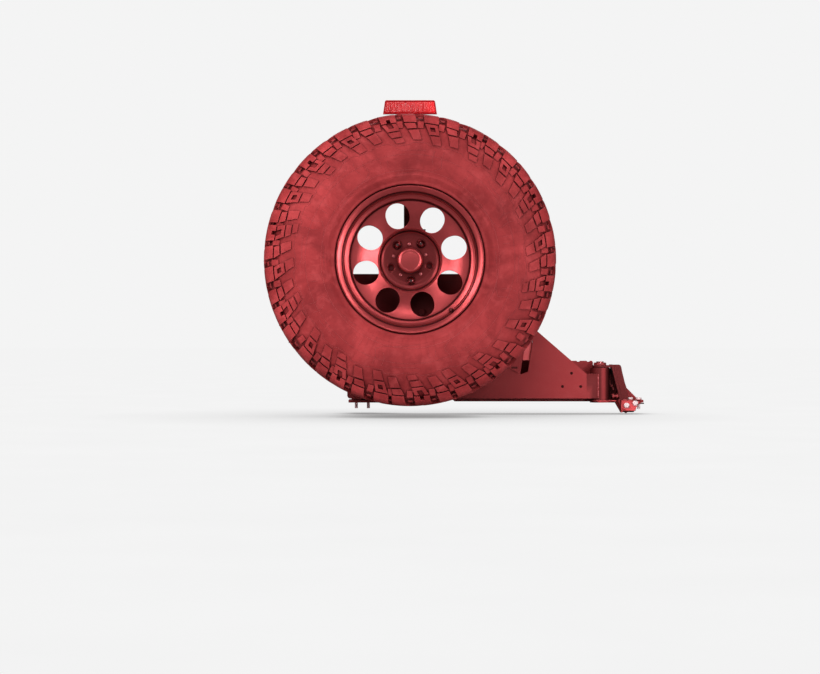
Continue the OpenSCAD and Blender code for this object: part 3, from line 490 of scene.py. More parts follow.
def grid_faces(rows, columns, base=0, close_rows=False, close_columns=False, flip=False):
    """Quads over vertices numbered row by row from base; closing joins last to first."""
    faces = []
    for i in range(rows if close_rows else rows - 1):
        a = base + i * columns
        b = base + (i + 1) % rows * columns
        for j in range(columns if close_columns else columns - 1):
            k = (j + 1) % columns
            faces.append((a + j, b + j, b + k, a + k) if flip else (a + j, a + k, b + k, b + j))
    return faces


def slab_faces(rows, columns):
    """Faces of two facing sheets, the second numbered after the first: first sheet, second
    sheet, walls on the outer columns, walls on the outer rows."""
    back = rows * columns
    last_row = back - columns
    end = columns - 1
    column_walls, row_walls = [], []
    for a in range(0, last_row, columns):
        b = a + columns
        column_walls += [(a, b, back + b, back + a),
                         (a + end, back + a + end, back + b + end, b + end)]
    for i in range(end):
        j = last_row + i
        row_walls += [(i, back + i, back + i + 1, i + 1), (j, j + 1, back + j + 1, back + j)]
    return (grid_faces(rows, columns), grid_faces(rows, columns, base=back, flip=True),
            column_walls, row_walls)


def scaled(points):
    """Points in millimetres brought to metres."""
    return [(x * MM, y * MM, z * MM) for x, y, z in points]


def on_axle(angle, radius, y):
    """Point at an angle in degrees and a radius about the axle, at y in metres."""
    turn = math.radians(angle)
    return (AXLE.x + radius * math.cos(turn) * MM, y, AXLE.z + radius * math.sin(turn) * MM)


def tyre_point(angle, radius, offset, side):
    """offset is the distance from the tyre's middle plane; side is 1 for -Y, -1 for +Y."""
    return on_axle(angle, radius, AXLE.y - side * offset * MM)


def wheel_point(angle, radius, depth):
    """depth is the distance from the mounting face towards -Y."""
    return on_axle(angle, radius, WHEEL_Y - depth * MM)


def interpolate(line, x):
    """Second value on a line of points at first value x; beyond the ends, the nearer end."""
    for a, b in zip(line, line[1:]):
        low, high = min(a[0], b[0]), max(a[0], b[0])
        if low - 1e-9 <= x <= high + 1e-9 and high > low:
            return a[1] + (b[1] - a[1]) * (x - a[0]) / (b[0] - a[0])
    return line[0][1] if abs(x - line[0][0]) < abs(x - line[-1][0]) else line[-1][1]


# ------------------------------------------------------------------ CAD nodes, with softened edges
def weld_and_smooth():
    group = bpy.data.node_groups.new("weld_and_smooth", "GeometryNodeTree")
    for direction in ("INPUT", "OUTPUT"):
        group.interface.new_socket("Geometry", in_out=direction,
                                   socket_type="NodeSocketGeometry")
    chain = [group.nodes.new(kind) for kind in (
        "NodeGroupInput", "GeometryNodeMergeByDistance", "GeometryNodeSetShadeSmooth",
        "NodeGroupOutput")]
    chain[1].inputs["Distance"].default_value = 2e-6
    for source, target in zip(chain, chain[1:]):
        group.links.new(source.outputs[0], target.inputs[0])
    return group


SOFTEN = weld_and_smooth()
# bevel width by material slot, metres
EDGE_WIDTHS = {
    "coat": 0.0011, "plated": 0.0005, "lamp_body": 0.0010, "lamp_lens": 0.0005,
    "lamp_board": 0.0002, "nut_chrome": 0.0014, "soft_rubber": 0.0006, "alloy": 0.0008,
    "bearing_steel": 0.0002}
UNBEVELLED = ("hook_spring", "handle_spring", "release_cable", "light_cable",
              "bearing_rollers", "grease_seals")


def soften(obj, width):
    add_modifier(obj, "prep", "NODES", node_group=SOFTEN)
    if width > 0:
        add_modifier(obj, "flat", "DECIMATE", decimate_type="DISSOLVE",
                     angle_limit=math.radians(0.6))
        bevel_edges(obj, width, angle=32, miter_outer="MITER_ARC")
    weight_normals(obj, weight=60, mode="FACE_AREA_WITH_ANGLE")


def paint(obj, material):
    obj.data.materials.clear()
    obj.data.materials.append(material)


slots = {part["node"]: part["material_slot"] for part in frame["record"]["subparts"]}
for name, obj in NODES.items():
    slot = slots[name]
    paint(obj, MATERIALS[slot])
    if name not in ("tyre", "wheel"):
        soften(obj, 0 if name in UNBEVELLED else EDGE_WIDTHS.get(slot, 0))


# ------------------------------------------------------------------ tyre
def smooth_line(points, steps):
    """Catmull-Rom curve through the points."""
    def spline(a, b, c, d, t):
        return 0.5 * ((2 * b) + (-a + c) * t + (2 * a - 5 * b + 4 * c - d) * t * t
                      + (-a + 3 * b - 3 * c + d) * t ** 3)

    line = []
    for i in range(len(points) - 1):
        four = (points[max(i - 1, 0)], points[i], points[i + 1],
                points[min(i + 2, len(points) - 1)])
        for k in range(steps):
            line.append(tuple(spline(*values, k / steps) for values in zip(*four)))
    line.append(points[-1])
    return line


# outside of the tread blocks, (radius, offset), crown to bead
TREAD = smooth_line([
    (459, 0), (459, 16), (458.8, 32), (458.3, 50), (457.6, 68), (456.2, 86), (453, 104),
    (448.6, 115), (442, 123.5), (433, 130), (424, 135.5), (412, 141.5), (399, 147),
    (382, 152.4), (364, 156.2), (348, 158.2), (331, 159), (314, 157.8), (299, 155)], steps=4)
TREAD_LENGTHS = [0.0]                       # arc length from the crown to each point
for a, b in zip(TREAD, TREAD[1:]):
    TREAD_LENGTHS.append(TREAD_LENGTHS[-1] + math.hypot(b[0] - a[0], b[1] - a[1]))

# half section of the carcass, (radius, offset): the outside from crown to bead, then the inside
CARCASS = smooth_line([
    (443.5, 0), (443.5, 30), (443, 60), (442, 84), (438.5, 100), (433, 110), (426, 119),
    (417, 128), (407, 135.5), (396, 141.6), (382, 147.2), (368, 151.6), (358, 154.2),
    (345, 156.4), (331, 157.4), (314, 156.4), (299, 153.6), (284, 149.6), (270, 144.4)], steps=3)
CARCASS += [
    (264, 141.6), (262.2, 142.0), (260.4, 141.2), (256, 138.4), (250, 134.0), (245, 129.6),
    (242.0, 128.2), (240.4, 128.0), (238.4, 127.4), (236.0, 126.4), (234.4, 124.6),
    (233.8, 121.8), (233.6, 117.0), (231.8, 114.0), (224, 113.8), (219.8, 113.2), (218.7, 109),
    (218.7, 93.4), (222, 91.2), (236, 100), (250, 117), (268, 133), (300, 143.5), (340, 146),
    (372, 140), (400, 124), (420, 100), (430, 60), (432, 0)]
CARCASS_TURNS = 288


def tread_at(length):
    """Radius, offset and outward normal of the block surface at an arc length."""
    length = max(0.0, min(length, TREAD_LENGTHS[-1] - 1e-6))
    i = bisect_right(TREAD_LENGTHS, length) - 1
    t = (length - TREAD_LENGTHS[i]) / (TREAD_LENGTHS[i + 1] - TREAD_LENGTHS[i])

    def normal(k):
        a, b = TREAD[max(k - 1, 0)], TREAD[min(k + 1, len(TREAD) - 1)]
        size = math.hypot(b[0] - a[0], b[1] - a[1])
        return (b[1] - a[1]) / size, -(b[0] - a[0]) / size

    radius, offset = (a + (b - a) * t for a, b in zip(TREAD[i], TREAD[i + 1]))
    normal_r, normal_o = (a + (b - a) * t for a, b in zip(normal(i), normal(i + 1)))
    size = math.hypot(normal_r, normal_o)
    return radius, offset, normal_r / size, normal_o / size


def tread_length(value, column):
    """Arc length where a column of TREAD takes a value, searched from the bead."""
    for i in reversed(range(len(TREAD) - 1)):
        a, b = TREAD[i][column], TREAD[i + 1][column]
        if a != b and min(a, b) <= value <= max(a, b):
            span = TREAD_LENGTHS[i + 1] - TREAD_LENGTHS[i]
            return TREAD_LENGTHS[i] + span * (value - a) / (b - a)


def at_radius(radius):
    return tread_length(radius, 0)


def at_offset(offset):
    return tread_length(offset, 1)


DRAFT = 0.13                                # outward lean of block walls per depth
# block depth by arc length
DEPTHS = [(0, 17.5), (86, 17.0), (118, 15.5), (135, 12.5), (155, 9.5), (175, 7.6), (210, 6.0),
          (400, 5.0)]
WHOLE = (0, 1)                              # cuts of an undivided patch


def patch_size(corners):
    q0, q1, q2, q3 = corners
    per_degree = tread_at((q0[1] + q3[1]) / 2)[0] * math.pi / 180

    def gap(p, q):
        return math.hypot((q[0] - p[0]) * per_degree, q[1] - p[1])

    return max(gap(q0, q1), gap(q3, q2)), max(gap(q0, q3), gap(q1, q2))


def subdivide(cuts, size, step):
    """Positions within each interval between cuts, no more than step apart."""
    intervals = []
    for a, b in zip(cuts, cuts[1:]):
        count = max(1, int(math.ceil((b - a) * size / step)))
        intervals.append([a + (b - a) * i / count for i in range(count + 1)])
    return intervals


def patch_grid(corners, across, along, missing, step):
    """Points and quads of a bilinear patch, with the missing cells left out."""
    numbers, points, faces = {}, [], []

    def number(a, b):
        key = (round(a, 5), round(b, 5))
        if key not in numbers:
            numbers[key] = len(points)
            points.append(tuple(
                (1 - b) * ((1 - a) * q0 + a * q1) + b * ((1 - a) * q3 + a * q2)
                for q0, q1, q2, q3 in zip(*corners)))
        return numbers[key]

    width, height = patch_size(corners)
    for i, columns in enumerate(subdivide(across, width, step)):
        for j, rows in enumerate(subdivide(along, height, step)):
            if (i, j) in missing:
                continue
            for a0, a1 in zip(columns, columns[1:]):
                for b0, b1 in zip(rows, rows[1:]):
                    faces.append((number(a0, b0), number(a1, b0),
                                  number(a1, b1), number(a0, b1)))
    return points, faces


def rim_directions(points, rim):
    """Outward direction of each rim point, as a sum over its edges."""
    outward = {}
    for i, j in rim:
        per_degree = tread_at(points[i][1])[0] * math.pi / 180
        dx = (points[j][0] - points[i][0]) * per_degree
        dy = points[j][1] - points[i][1]
        size = math.hypot(dx, dy) or 1
        for k in (i, j):
            total = outward.setdefault(k, [0, 0])
            total[0] += dy / size
            total[1] += -dx / size
    return outward


class Blocks:
    """Rubber blocks standing on the carcass."""
    def __init__(self):
        self.verts, self.faces = [], []

    def patch(self, corners, side, depth=None, across=WHOLE, along=WHOLE, missing=(),
              rise=0.0, step=9.0):
        """One block. corners are (degrees, arc length): two at one end, then the other end's
        two in reverse. Its walls reach down by depth, or by DEPTHS where none is given."""
        points, quads = patch_grid(corners, across, along, missing, step)
        edges = [edge for quad in quads for edge in zip(quad, quad[1:] + quad[:1])]
        used = set(edges)
        rim = [(i, j) for i, j in edges if (j, i) not in used]
        outward = rim_directions(points, rim)
        top = len(self.verts)
        bottom = top + len(points)
        for angle, length in points:
            radius, offset, normal_r, normal_o = tread_at(length)
            self.verts.append(tyre_point(angle, radius + normal_r * rise,
                                         offset + normal_o * rise, side))
        for i, (angle, length) in enumerate(points):
            radius, offset, normal_r, normal_o = tread_at(length)
            drop = depth or interpolate(DEPTHS, length)
            if i in outward:
                lean = DRAFT * drop / (math.hypot(*outward[i]) or 1)
                angle += outward[i][0] * lean / (radius * math.pi / 180)
                radius, offset, normal_r, normal_o = tread_at(length + outward[i][1] * lean)
            self.verts.append(tyre_point(angle, radius - normal_r * drop,
                                         offset - normal_o * drop, side))
        faces = []
        for quad in quads:
            faces.append(tuple(top + i for i in quad))
            faces.append(tuple(bottom + i for i in reversed(quad)))
        faces += [(top + i, bottom + i, bottom + j, top + j) for i, j in rim]
        self.faces += faces if side > 0 else [tuple(reversed(face)) for face in faces]


# Lugs come in three kinds, named after their outermost sidewall pads.
LUG_ANGLES = {
    "ringed": [8, 45, 81, 118, 153, 186, 222, 258, 292, 331],
    "forked": [27, 62, 99, 136, 169, 203, 239, 275, 309, 350],
    "narrow": [18, 36, 54, 72, 90, 109, 127, 145, 162, 177, 195, 211, 231, 248, 265, 284, 301,
               319, 341, 359.5],
}
LUGS = sorted((angle, kind) for kind, angles in LUG_ANGLES.items() for angle in angles)
# shoulder block: width in degrees, offset of its crown end, cuts across and along, missing cells
SHOULDERS = {
    "ringed": (6.1, 80, WHOLE, (0, 0.34, 1), ()),
    "forked": (6.5, 80, (0, 0.38, 0.62, 1), (0, 0.22, 1), {(1, 0)}),
    "narrow": (5.3, 96, WHOLE, (0, 0.4, 1), ()),
}
SHOULDER_INNER = 426.1815                   # radius of the shoulder block's inner end
SHOULDER_LEAN = 0.9                         # shift of its crown end, degrees
# crown blocks: four corners each, (degrees from the lug, offset)
LONG_CROWN = [[(0.2, 68), (4.9, 66), (11.2, 6), (2.1, 13)]]
CROWNS = {
    "ringed": LONG_CROWN,
    "forked": LONG_CROWN,
    "narrow": [[(-1.1, 85), (4.6, 82), (6.6, 46), (0.3, 46)],
               [(3.1, 34), (8.0, 34), (10.4, 3.5), (3.2, 6)]],
}
PAD_OUTER = 422.777                         # outer radius of the outermost pads
# sidewall pads: shift in degrees, (inner, outer) widths in degrees, (inner, outer) radii,
# (inner, outer) slants, cuts across and along, missing cells
PADS = {
    "ringed": [(0, (4.9, 5.3), (389.97, PAD_OUTER), (2.7855, 0.0),
                (0, 0.30, 0.72, 1), (0, 0.30, 0.70, 1), {(1, 1)}),
               (-0.2, (4.3, 4.8), (359.639, 386.5655), (1.857, 3.095), WHOLE, WHOLE, ())],
    "forked": [(0, (5.6, 6.0), (398.017, PAD_OUTER), (2.476, 0.0),
                (0, 0.30, 0.70, 1), (0, 0.40, 1), {(1, 1)}),
               (0.2, (5.0, 5.7), (378.209, 394.922), (2.7855, 2.7855), WHOLE, WHOLE, ()),
               (-0.2, (4.5, 4.9), (359.02, 374.1855), (2.1665, 3.095), WHOLE, WHOLE, ())],
    "narrow": [(0.2, (4.3, 4.8), (405.445, PAD_OUTER), (2.476, 0.0), WHOLE, WHOLE, ()),
               (-0.1, (4.2, 4.7), (369.543, 401.112), (1.857, 3.095), WHOLE, (0, 0.5, 1), ())],
}
LEAN_RADIUS = 422.4675                      # where lugs lie at their nominal angle
KNOB_INNER, KNOB_OUTER = 409.159, 431.443
WIDE_GAP = 8.6                              # lug spacing above which knobs are wider, degrees


def lean_at(radius):
    """How far a lug has slid round at a radius, degrees."""
    if radius < LEAN_RADIUS:
        return -4.2 * (LEAN_RADIUS - radius) / 61.9
    return 0.35 * (radius - LEAN_RADIUS) / 29.4025


def pad_corners(angle, widths, radii, slants):
    def corner(end, hand):
        radius = radii[end] - hand * slants[end] / 2
        return angle + hand * widths[end] / 2 + lean_at(radius), at_radius(radius)

    return [corner(0, -1), corner(0, 1), corner(1, 1), corner(1, -1)]


def add_lug(angle, kind, side):
    width, crown_end, across, along, missing = SHOULDERS[kind]
    inner, outer = at_radius(SHOULDER_INNER), at_offset(crown_end)
    tread_blocks.patch(
        [(angle - width / 2 - 0.1, inner), (angle + width / 2 - 0.1, inner),
         (angle + width / 2 + SHOULDER_LEAN, outer), (angle - width / 2 + SHOULDER_LEAN, outer)],
        side, across=across, along=along, missing=missing, step=7)
    for corners in CROWNS[kind]:
        tread_blocks.patch([(angle + turn, at_offset(offset)) for turn, offset in corners], side)
    for shift, widths, radii, slants, across, along, missing in PADS[kind]:
        side_pads.patch(pad_corners(angle + shift, widths, radii, slants), side,
                        across=across, along=along, missing=missing, step=5)


def add_knobs(angle, gap, side):
    """Two low knobs midway in the gap after a lug: one on the shoulder, one nearer the crown."""
    middle = angle + gap / 2
    half = 1.32 if gap > WIDE_GAP else 1.15
    inner, outer = at_radius(KNOB_INNER), at_radius(KNOB_OUTER)
    stone_knobs.patch([(middle - half - 0.1, inner), (middle + half - 0.1, inner),
                       (middle + half, outer), (middle - half, outer)],
                      side, depth=11.0, along=(0, 0.45, 1), rise=-4.2, step=5)
    length = at_offset(112)
    stone_knobs.patch([(middle - 0.9, length + 9), (middle + 1.0, length + 9),
                       (middle + 1.3, length - 3), (middle - 0.6, length - 3)],
                      side, depth=9.0, rise=-7.5, step=5)


tread_blocks, side_pads, stone_knobs = Blocks(), Blocks(), Blocks()
for i, (angle, kind) in enumerate(LUGS):
    next_angle, next_kind = LUGS[(i + 1) % len(LUGS)]
    for side, side_kind in ((1, kind), (-1, next_kind)):
        add_lug(angle, side_kind, side)
        add_knobs(angle, (next_angle - angle) % 360, side)


def add_tyre_part(name, shape, sharp=0):
    return add_mesh(name, *shape, MATERIALS["tread_rubber"], "spare_wheel", sharp=sharp,
                    slot="tread_rubber")


section = CARCASS + [(r, -offset) for r, offset in reversed(CARCASS[:-1])][:-1]
verts = [tyre_point(360.0 * i / CARCASS_TURNS, radius, offset, 1)
         for i in range(CARCASS_TURNS) for radius, offset in section]
faces = grid_faces(CARCASS_TURNS, len(section), close_rows=True, close_columns=True)
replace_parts(add_tyre_part("tyre_carcass", (verts, faces), sharp=40), "tyre")
for name, blocks, width in (("tyre_tread_blocks", tread_blocks, 0.0013),
                            ("tyre_side_pads", side_pads, 0.0009),
                            ("tyre_stone_knobs", stone_knobs, 0.0009)):
    part = add_tyre_part(name, (blocks.verts, blocks.faces))
    bevel_edges(part, width)
    weight_normals(part)


# ------------------------------------------------------------------ wheel
def rounded(points, radius, special):
    """Polyline with its corners turned into curves; special gives radii by point index."""
    steps = 4
    line = [points[0]]
    for i in range(1, len(points) - 1):
        before, corner, after = points[i - 1], points[i], points[i + 1]
        ax, ay = before[0] - corner[0], before[1] - corner[1]
        bx, by = after[0] - corner[0], after[1] - corner[1]
        size_a, size_b = math.hypot(ax, ay), math.hypot(bx, by)
        ax, ay, bx, by = ax / size_a, ay / size_a, bx / size_b, by / size_b
        turn = math.pi - math.acos(max(-1, min(1, ax * bx + ay * by)))
        if turn < math.radians(1.5):
            line.append(corner)
            continue
        reach = min(special.get(i, radius) * math.tan(turn / 2), 0.46 * size_a, 0.46 * size_b)
        for step in range(steps + 1):
            t = step / steps
            start = (corner[0] + ax * reach * (1 - t), corner[1] + ay * reach * (1 - t))
            end = (corner[0] + bx * reach * t, corner[1] + by * reach * t)
            line.append((start[0] + (end[0] - start[0]) * t, start[1] + (end[1] - start[1]) * t))
    line.append(points[-1])
    return line


def split_at(line, radius):
    """The parts of a profile before and after a radius, both holding the cut point."""
    for i, (a, b) in enumerate(zip(line, line[1:])):
        if min(a[0], b[0]) <= radius < max(a[0], b[0]):
            t = (radius - a[0]) / (b[0] - a[0])
            cut = (radius, a[1] + (b[1] - a[1]) * t)
            return line[:i + 1] + [cut], [cut] + line[i + 1:]


BORE, BORE_DEPTH = 35.75, 18
# wheel profiles, (radius, depth): the front from bore to rim, the back from rim to bore
WHEEL_FRONT = rounded([
    (BORE, BORE_DEPTH), (71, 18), (73.0, 18.6), (78.4, 18.6), (86, 19.6), (92.4, 23.4),
    (94.6, 33), (95.4, 43.2), (97.0, 44.6), (98.6, 44.6), (99.6, 51.4), (101.8, 53.6),
    (115, 59), (128, 64.4), (140, 69), (152, 72.8), (165, 76.1), (175, 77.8), (184, 79),
    (187.4, 79.3), (188.9, 82.4), (189.5, 89.8), (191.6, 92.2), (198, 94.2), (204.8, 97.4),
    (206.4, 101), (207.2, 112), (209.8, 113.4), (210.6, 126.2), (212.4, 131.4), (219, 134.8),
    (226.2, 137.6), (229.6, 137.6), (231.0, 135.4)],
    radius=0.9, special={4: 9.0, 5: 3.2, 11: 1.6, 12: 60, 13: 60, 14: 60, 15: 60, 16: 60,
                         17: 60, 18: 6, 23: 8, 24: 2, 29: 2.2, 30: 24, 31: 10, 32: 3})
WHEEL_BACK = rounded([
    (231.0, 132.5), (229, 129.4), (224, 127.2), (219.5, 126.2), (218.3, 122), (218, 104),
    (219.2, 101), (217, 98), (209, 95), (198, 87), (196.5, 80), (196.5, 40), (204, 20),
    (211, -12), (211.5, -68), (217, -73), (219.2, -76), (218.2, -80), (218.3, -96),
    (219.5, -100.6), (224, -101.8), (231, -103.6), (234.5, -107.6), (234.5, -112),
    (232, -114.3), (226, -114.3), (222, -112), (214, -104), (211.4, -98), (211.4, -80),
    (205.6, -66), (205, -14), (198, 16), (190.2, 38), (190.2, 66), (184, 69.5), (165, 66.5),
    (140, 59.5), (115, 49), (104, 44), (98, 36), (92, 16), (86, 5), (80, 0.08), (BORE, 0.08)],
    radius=2.5, special={13: 18, 12: 25, 35: 3, 36: 40, 37: 60, 38: 30})

PAD_IN, PAD_OUT = 37.0, 78.2                # radii of the ring holding the stud holes
DISH_IN, DISH_OUT = 102.3, 184.6            # radii of the ring holding the disc holes
front_bore, rest = split_at(WHEEL_FRONT, PAD_IN)
front_pad, rest = split_at(rest, PAD_OUT)
front_hub, rest = split_at(rest, DISH_IN)
front_dish, front_rim = split_at(rest, DISH_OUT)
back_rim, rest = split_at(WHEEL_BACK, DISH_OUT)
back_dish, rest = split_at(rest, DISH_IN)
back_hub, rest = split_at(rest, PAD_OUT)
back_pad, back_bore = split_at(rest, PAD_IN)


class WheelSkin:
    """Surface of the wheel, made of full strips and of sectors with a hole."""
    def __init__(self):
        self.verts, self.faces = [], []

    def strip(self, line, phase_in, phase_out):
        """Turned strip of 360 sides; its phase moves from one end of the line to the other."""
        count = len(line)
        self.faces += grid_faces(360, count, base=len(self.verts), close_rows=True, flip=True)
        for i in range(360):
            for k, (radius, depth) in enumerate(line):
                phase = phase_in + (phase_out - phase_in) * k / (count - 1)
                self.verts.append(wheel_point(i + phase, radius, depth))

    def sector(self, middle, span, radii, hole_radius, contour, layers, front, back,
               radial_steps, blend_steps):
        """Sector of a turned wall with a hole through it. contour gives the hole's reach in
        each direction from its centre; layers are (growth of the contour, profile or None,
        depth from that profile or from the mounting face)."""
        inner, outer = radii
        edge = [(middle - span / 2 + i, inner) for i in range(span)]
        edge += [(middle + span / 2, inner + (outer - inner) * i / radial_steps)
                 for i in range(radial_steps)]
        edge += [(middle + span / 2 - i, outer) for i in range(span)]
        edge += [(middle - span / 2, outer + (inner - outer) * i / radial_steps)
                 for i in range(radial_steps)]
        directions = []
        for angle, radius in edge:
            turn = math.radians(angle - middle)
            directions.append(math.atan2(radius * math.sin(turn),
                                         radius * math.cos(turn) - hole_radius))

        def hole(direction, growth):
            reach = contour(direction) + growth
            x, y = reach * math.cos(direction) + hole_radius, reach * math.sin(direction)
            return middle + math.degrees(math.atan2(y, x)), math.hypot(x, y)

        def blend_row(growth, share, line):
            # blended in polar form, so that the row stays on the turned surface
            share = 1 - (1 - share) ** 1.35
            row = []
            for (angle, radius), direction in zip(edge, directions):
                hole_angle, hole_at = hole(direction, growth)
                at = radius + (hole_at - radius) * share
                row.append(wheel_point(angle + (hole_angle - angle) * share, at,
                                       interpolate(line, at)))
            return row

        def wall_row(growth, line, depth):
            row = []
            for direction in directions:
                angle, radius = hole(direction, growth)
                start = interpolate(line, radius) if line else 0.0
                row.append(wheel_point(angle, radius, start + depth))
            return row

        rows = [blend_row(layers[0][0], i / blend_steps, front) for i in range(blend_steps)]
        rows += [wall_row(*layer) for layer in layers]
        rows += [blend_row(layers[-1][0], 1 - (i + 1) / blend_steps, back)
                 for i in range(blend_steps)]
        self.faces += grid_faces(len(rows), len(edge), base=len(self.verts), close_columns=True)
        for row in rows:
            self.verts += row


HOLE_COUNT = 8
HOLE_PITCH = 360 // HOLE_COUNT
HOLE_CIRCLE, HOLE_ANGLE = 143.5, 15.76      # ring radius, and the first hole's angle in degrees
HOLE_RADIUS, HOLE_STRETCH = 37.0, 2.8
STUD_HOLE = 7.0                             # radius the stud hole's layers grow from
pad_phase = STUD_ANGLE - STUD_PITCH / 2
dish_phase = HOLE_ANGLE - HOLE_PITCH / 2

skin = WheelSkin()
skin.strip(front_bore, pad_phase, pad_phase)
skin.strip(front_hub, pad_phase % 1.0, dish_phase % 1.0)
for line in (front_rim, [front_rim[-1], back_rim[0]], back_rim):
    skin.strip(line, dish_phase, dish_phase)
skin.strip(back_hub, dish_phase % 1.0, pad_phase % 1.0)
skin.strip(back_bore + [(BORE, BORE_DEPTH)], pad_phase, pad_phase)


def slotted(direction):
    """Disc hole: a circle drawn out both ways along the wheel's radius."""
    c, s = abs(math.cos(direction)), abs(math.sin(direction))
    if c * HOLE_RADIUS <= HOLE_STRETCH * s:
        return HOLE_RADIUS / s
    b = HOLE_STRETCH * c
    return b + math.sqrt(max(b * b - HOLE_STRETCH * HOLE_STRETCH + HOLE_RADIUS * HOLE_RADIUS, 0))


DISC_HOLE_LAYERS = [
    (0.95, front_dish, 0.0), (0.62, front_dish, -0.06), (0.28, front_dish, -0.28),
    (0.06, front_dish, -0.62), (0.0, front_dish, -1.1), (0.0, back_dish, 1.2),
    (0.1, back_dish, 0.6), (0.5, back_dish, 0.1), (0.95, back_dish, 0.0)]
STUD_HOLE_LAYERS = [
    (7.3, front_pad, 0.0), (6.95, front_pad, -0.1), (6.6, front_pad, -0.35),
    (6.42, front_pad, -0.8), (6.4, None, 12.4), (6.2, None, 11.6), (5.7, None, 11.25),
    (4.2, None, 11.25), (3.9, None, 11.1), (3.6, None, 10.75), (0.0, None, 4.5),
    (0.0, None, 0.6), (0.5, None, 0.08)]
for i in range(HOLE_COUNT):
    skin.sector(HOLE_ANGLE + HOLE_PITCH * i, HOLE_PITCH, (DISH_IN, DISH_OUT), HOLE_CIRCLE,
                slotted, DISC_HOLE_LAYERS, front_dish, back_dish,
                radial_steps=16, blend_steps=7)
for i in range(STUD_COUNT):
    skin.sector(STUD_ANGLE + STUD_PITCH * i, STUD_PITCH, (PAD_IN, PAD_OUT), STUD_CIRCLE,
                lambda direction: STUD_HOLE, STUD_HOLE_LAYERS, front_pad, back_pad,
                radial_steps=14, blend_steps=6)
wheel = add_mesh("wheel_shell", skin.verts, skin.faces, MATERIALS["alloy"], "spare_wheel",
                 sharp=28, slot="alloy")
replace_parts(wheel, "wheel")
weight_normals(wheel, weight=40, keep_sharp=True)

# centre cap: a shallow dome with a broad rolled edge, (radius, depth), outside then inside
CAP_TURNS = 128
CAP_OUTSIDE = rounded([
    (35.6, 4), (35.6, 18.0), (40, 18.05), (40, 50.5), (38.9, 54.6), (35.4, 57.6), (31.6, 58.6),
    (30.2, 58.2), (29.0, 57.5), (22, 58.1), (10, 58.6), (0.02, 58.7)],
    radius=1.0, special={3: 3.0, 4: 5.0, 5: 5.0, 6: 1.2, 9: 40, 10: 40})
CAP = CAP_OUTSIDE + [(0.02, 56.8), (33, 56.0), (37.0, 52.0), (37.4, 20), (33.6, 20), (33.6, 4)]
verts = [wheel_point(360.0 * i / CAP_TURNS, radius, depth)
         for i in range(CAP_TURNS) for radius, depth in CAP]
# the two points next to the axis are closed by discs instead of being joined to each other
centre = len(CAP_OUTSIDE) - 1
faces = [face for face in grid_faces(CAP_TURNS, len(CAP), close_rows=True, close_columns=True,
                                     flip=True) if face[0] % len(CAP) != centre]
for k in (centre, centre + 1):
    faces.append(tuple(i * len(CAP) + k for i in range(CAP_TURNS)))
cap = add_mesh("cap_shell", verts, faces, alloy("cap_alloy", (0.70, 0.098, 0.104)),
               "spare_wheel", sharp=40, slot="alloy")
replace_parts(cap, "centre_cap")

# ------------------------------------------------------------------ special finishes, painted shade and painted light on CAD nodes
# a darker copy of the powder coat: painted shade on the tower, also used on the thrust washers
TOWER_PAINTED_SHADE_COAT = coat("tower_coat_painted_shade", tone=0.33)
FINISHES = [
    (TOWER_PAINTED_SHADE_COAT, ("hinge_front_plate", "hinge_side_plate", "hinge_ear")),
    # painted shade on faces turned to -X and a painted highlight on the leaf
    (coat("foot_coat_painted_light_and_shade", turn=[(0.0, 0.24), (0.30, 0.27), (0.44, 1.0)], leaf=True),
     ("hinge_foot",)),
    # painted shade on faces turned to +X, such as the bent end panel
    (coat("arm_coat_painted_shade", turn=[(0.54, 1.0), (0.62, 0.47)]), ("arm_face_plate",)),
    # painted highlight as an upright band on the tube, painted shade on both sides of it
    (coat("tube_coat_painted_light_and_shade", tone=0.95, turn=[(0.0, 0.36), (0.50, 0.42), (0.56, 0.80), (0.65, 0.92),
                                        (0.72, 0.80), (0.79, 0.28), (0.90, 0.12)]),
     ("pivot_tube",)),
    # foot bolts near-white, partly the zinc's own colour and partly a painted reflection; these
    # bolts and washers get painted shade in their contact gaps
    (plated("bright_zinc", (1.0, 0.80, 0.805), rough=0.22, metal=0.12, seat_shade=0.95),
     ("foot_bolts",)),
    (plated("washer_zinc", (1.0, 0.34, 0.352), rough=0.26, metal=0.20, seat_shade=0.95),
     ("foot_washers",)),
    (plated("dull_zinc", (0.50, 0.070, 0.075), rough=0.26, metal=0.45),
     ("stop_bolt", "spindle_nut")),
    (plated("pad_screw_zinc", (0.60, 0.135, 0.142), rough=0.26, metal=0.70), ("pad_screws",)),
    # dark: painted shade of the wheel the mount bolts sit behind
    (plated("mount_bolt_zinc", (0.16, 0.022, 0.024), rough=0.30, metal=0.60),
     ("mount_bolts",)),
    (plated("nut_plate", (0.98, 0.62, 0.64), rough=0.09, metal=1.0),
     ("lug_nut_1", "lug_nut_2", "lug_nut_3")),
]
for material, names in FINISHES:
    for name in names:
        paint(NODES[name], material)

# ------------------------------------------------------------------ weld beads
BEAD_SIDES = 10
BEAD_FLATNESS = 0.75                        # height of a bead over its width
TOWER_EDGE = -49.8                          # x of the tower's side at its foot


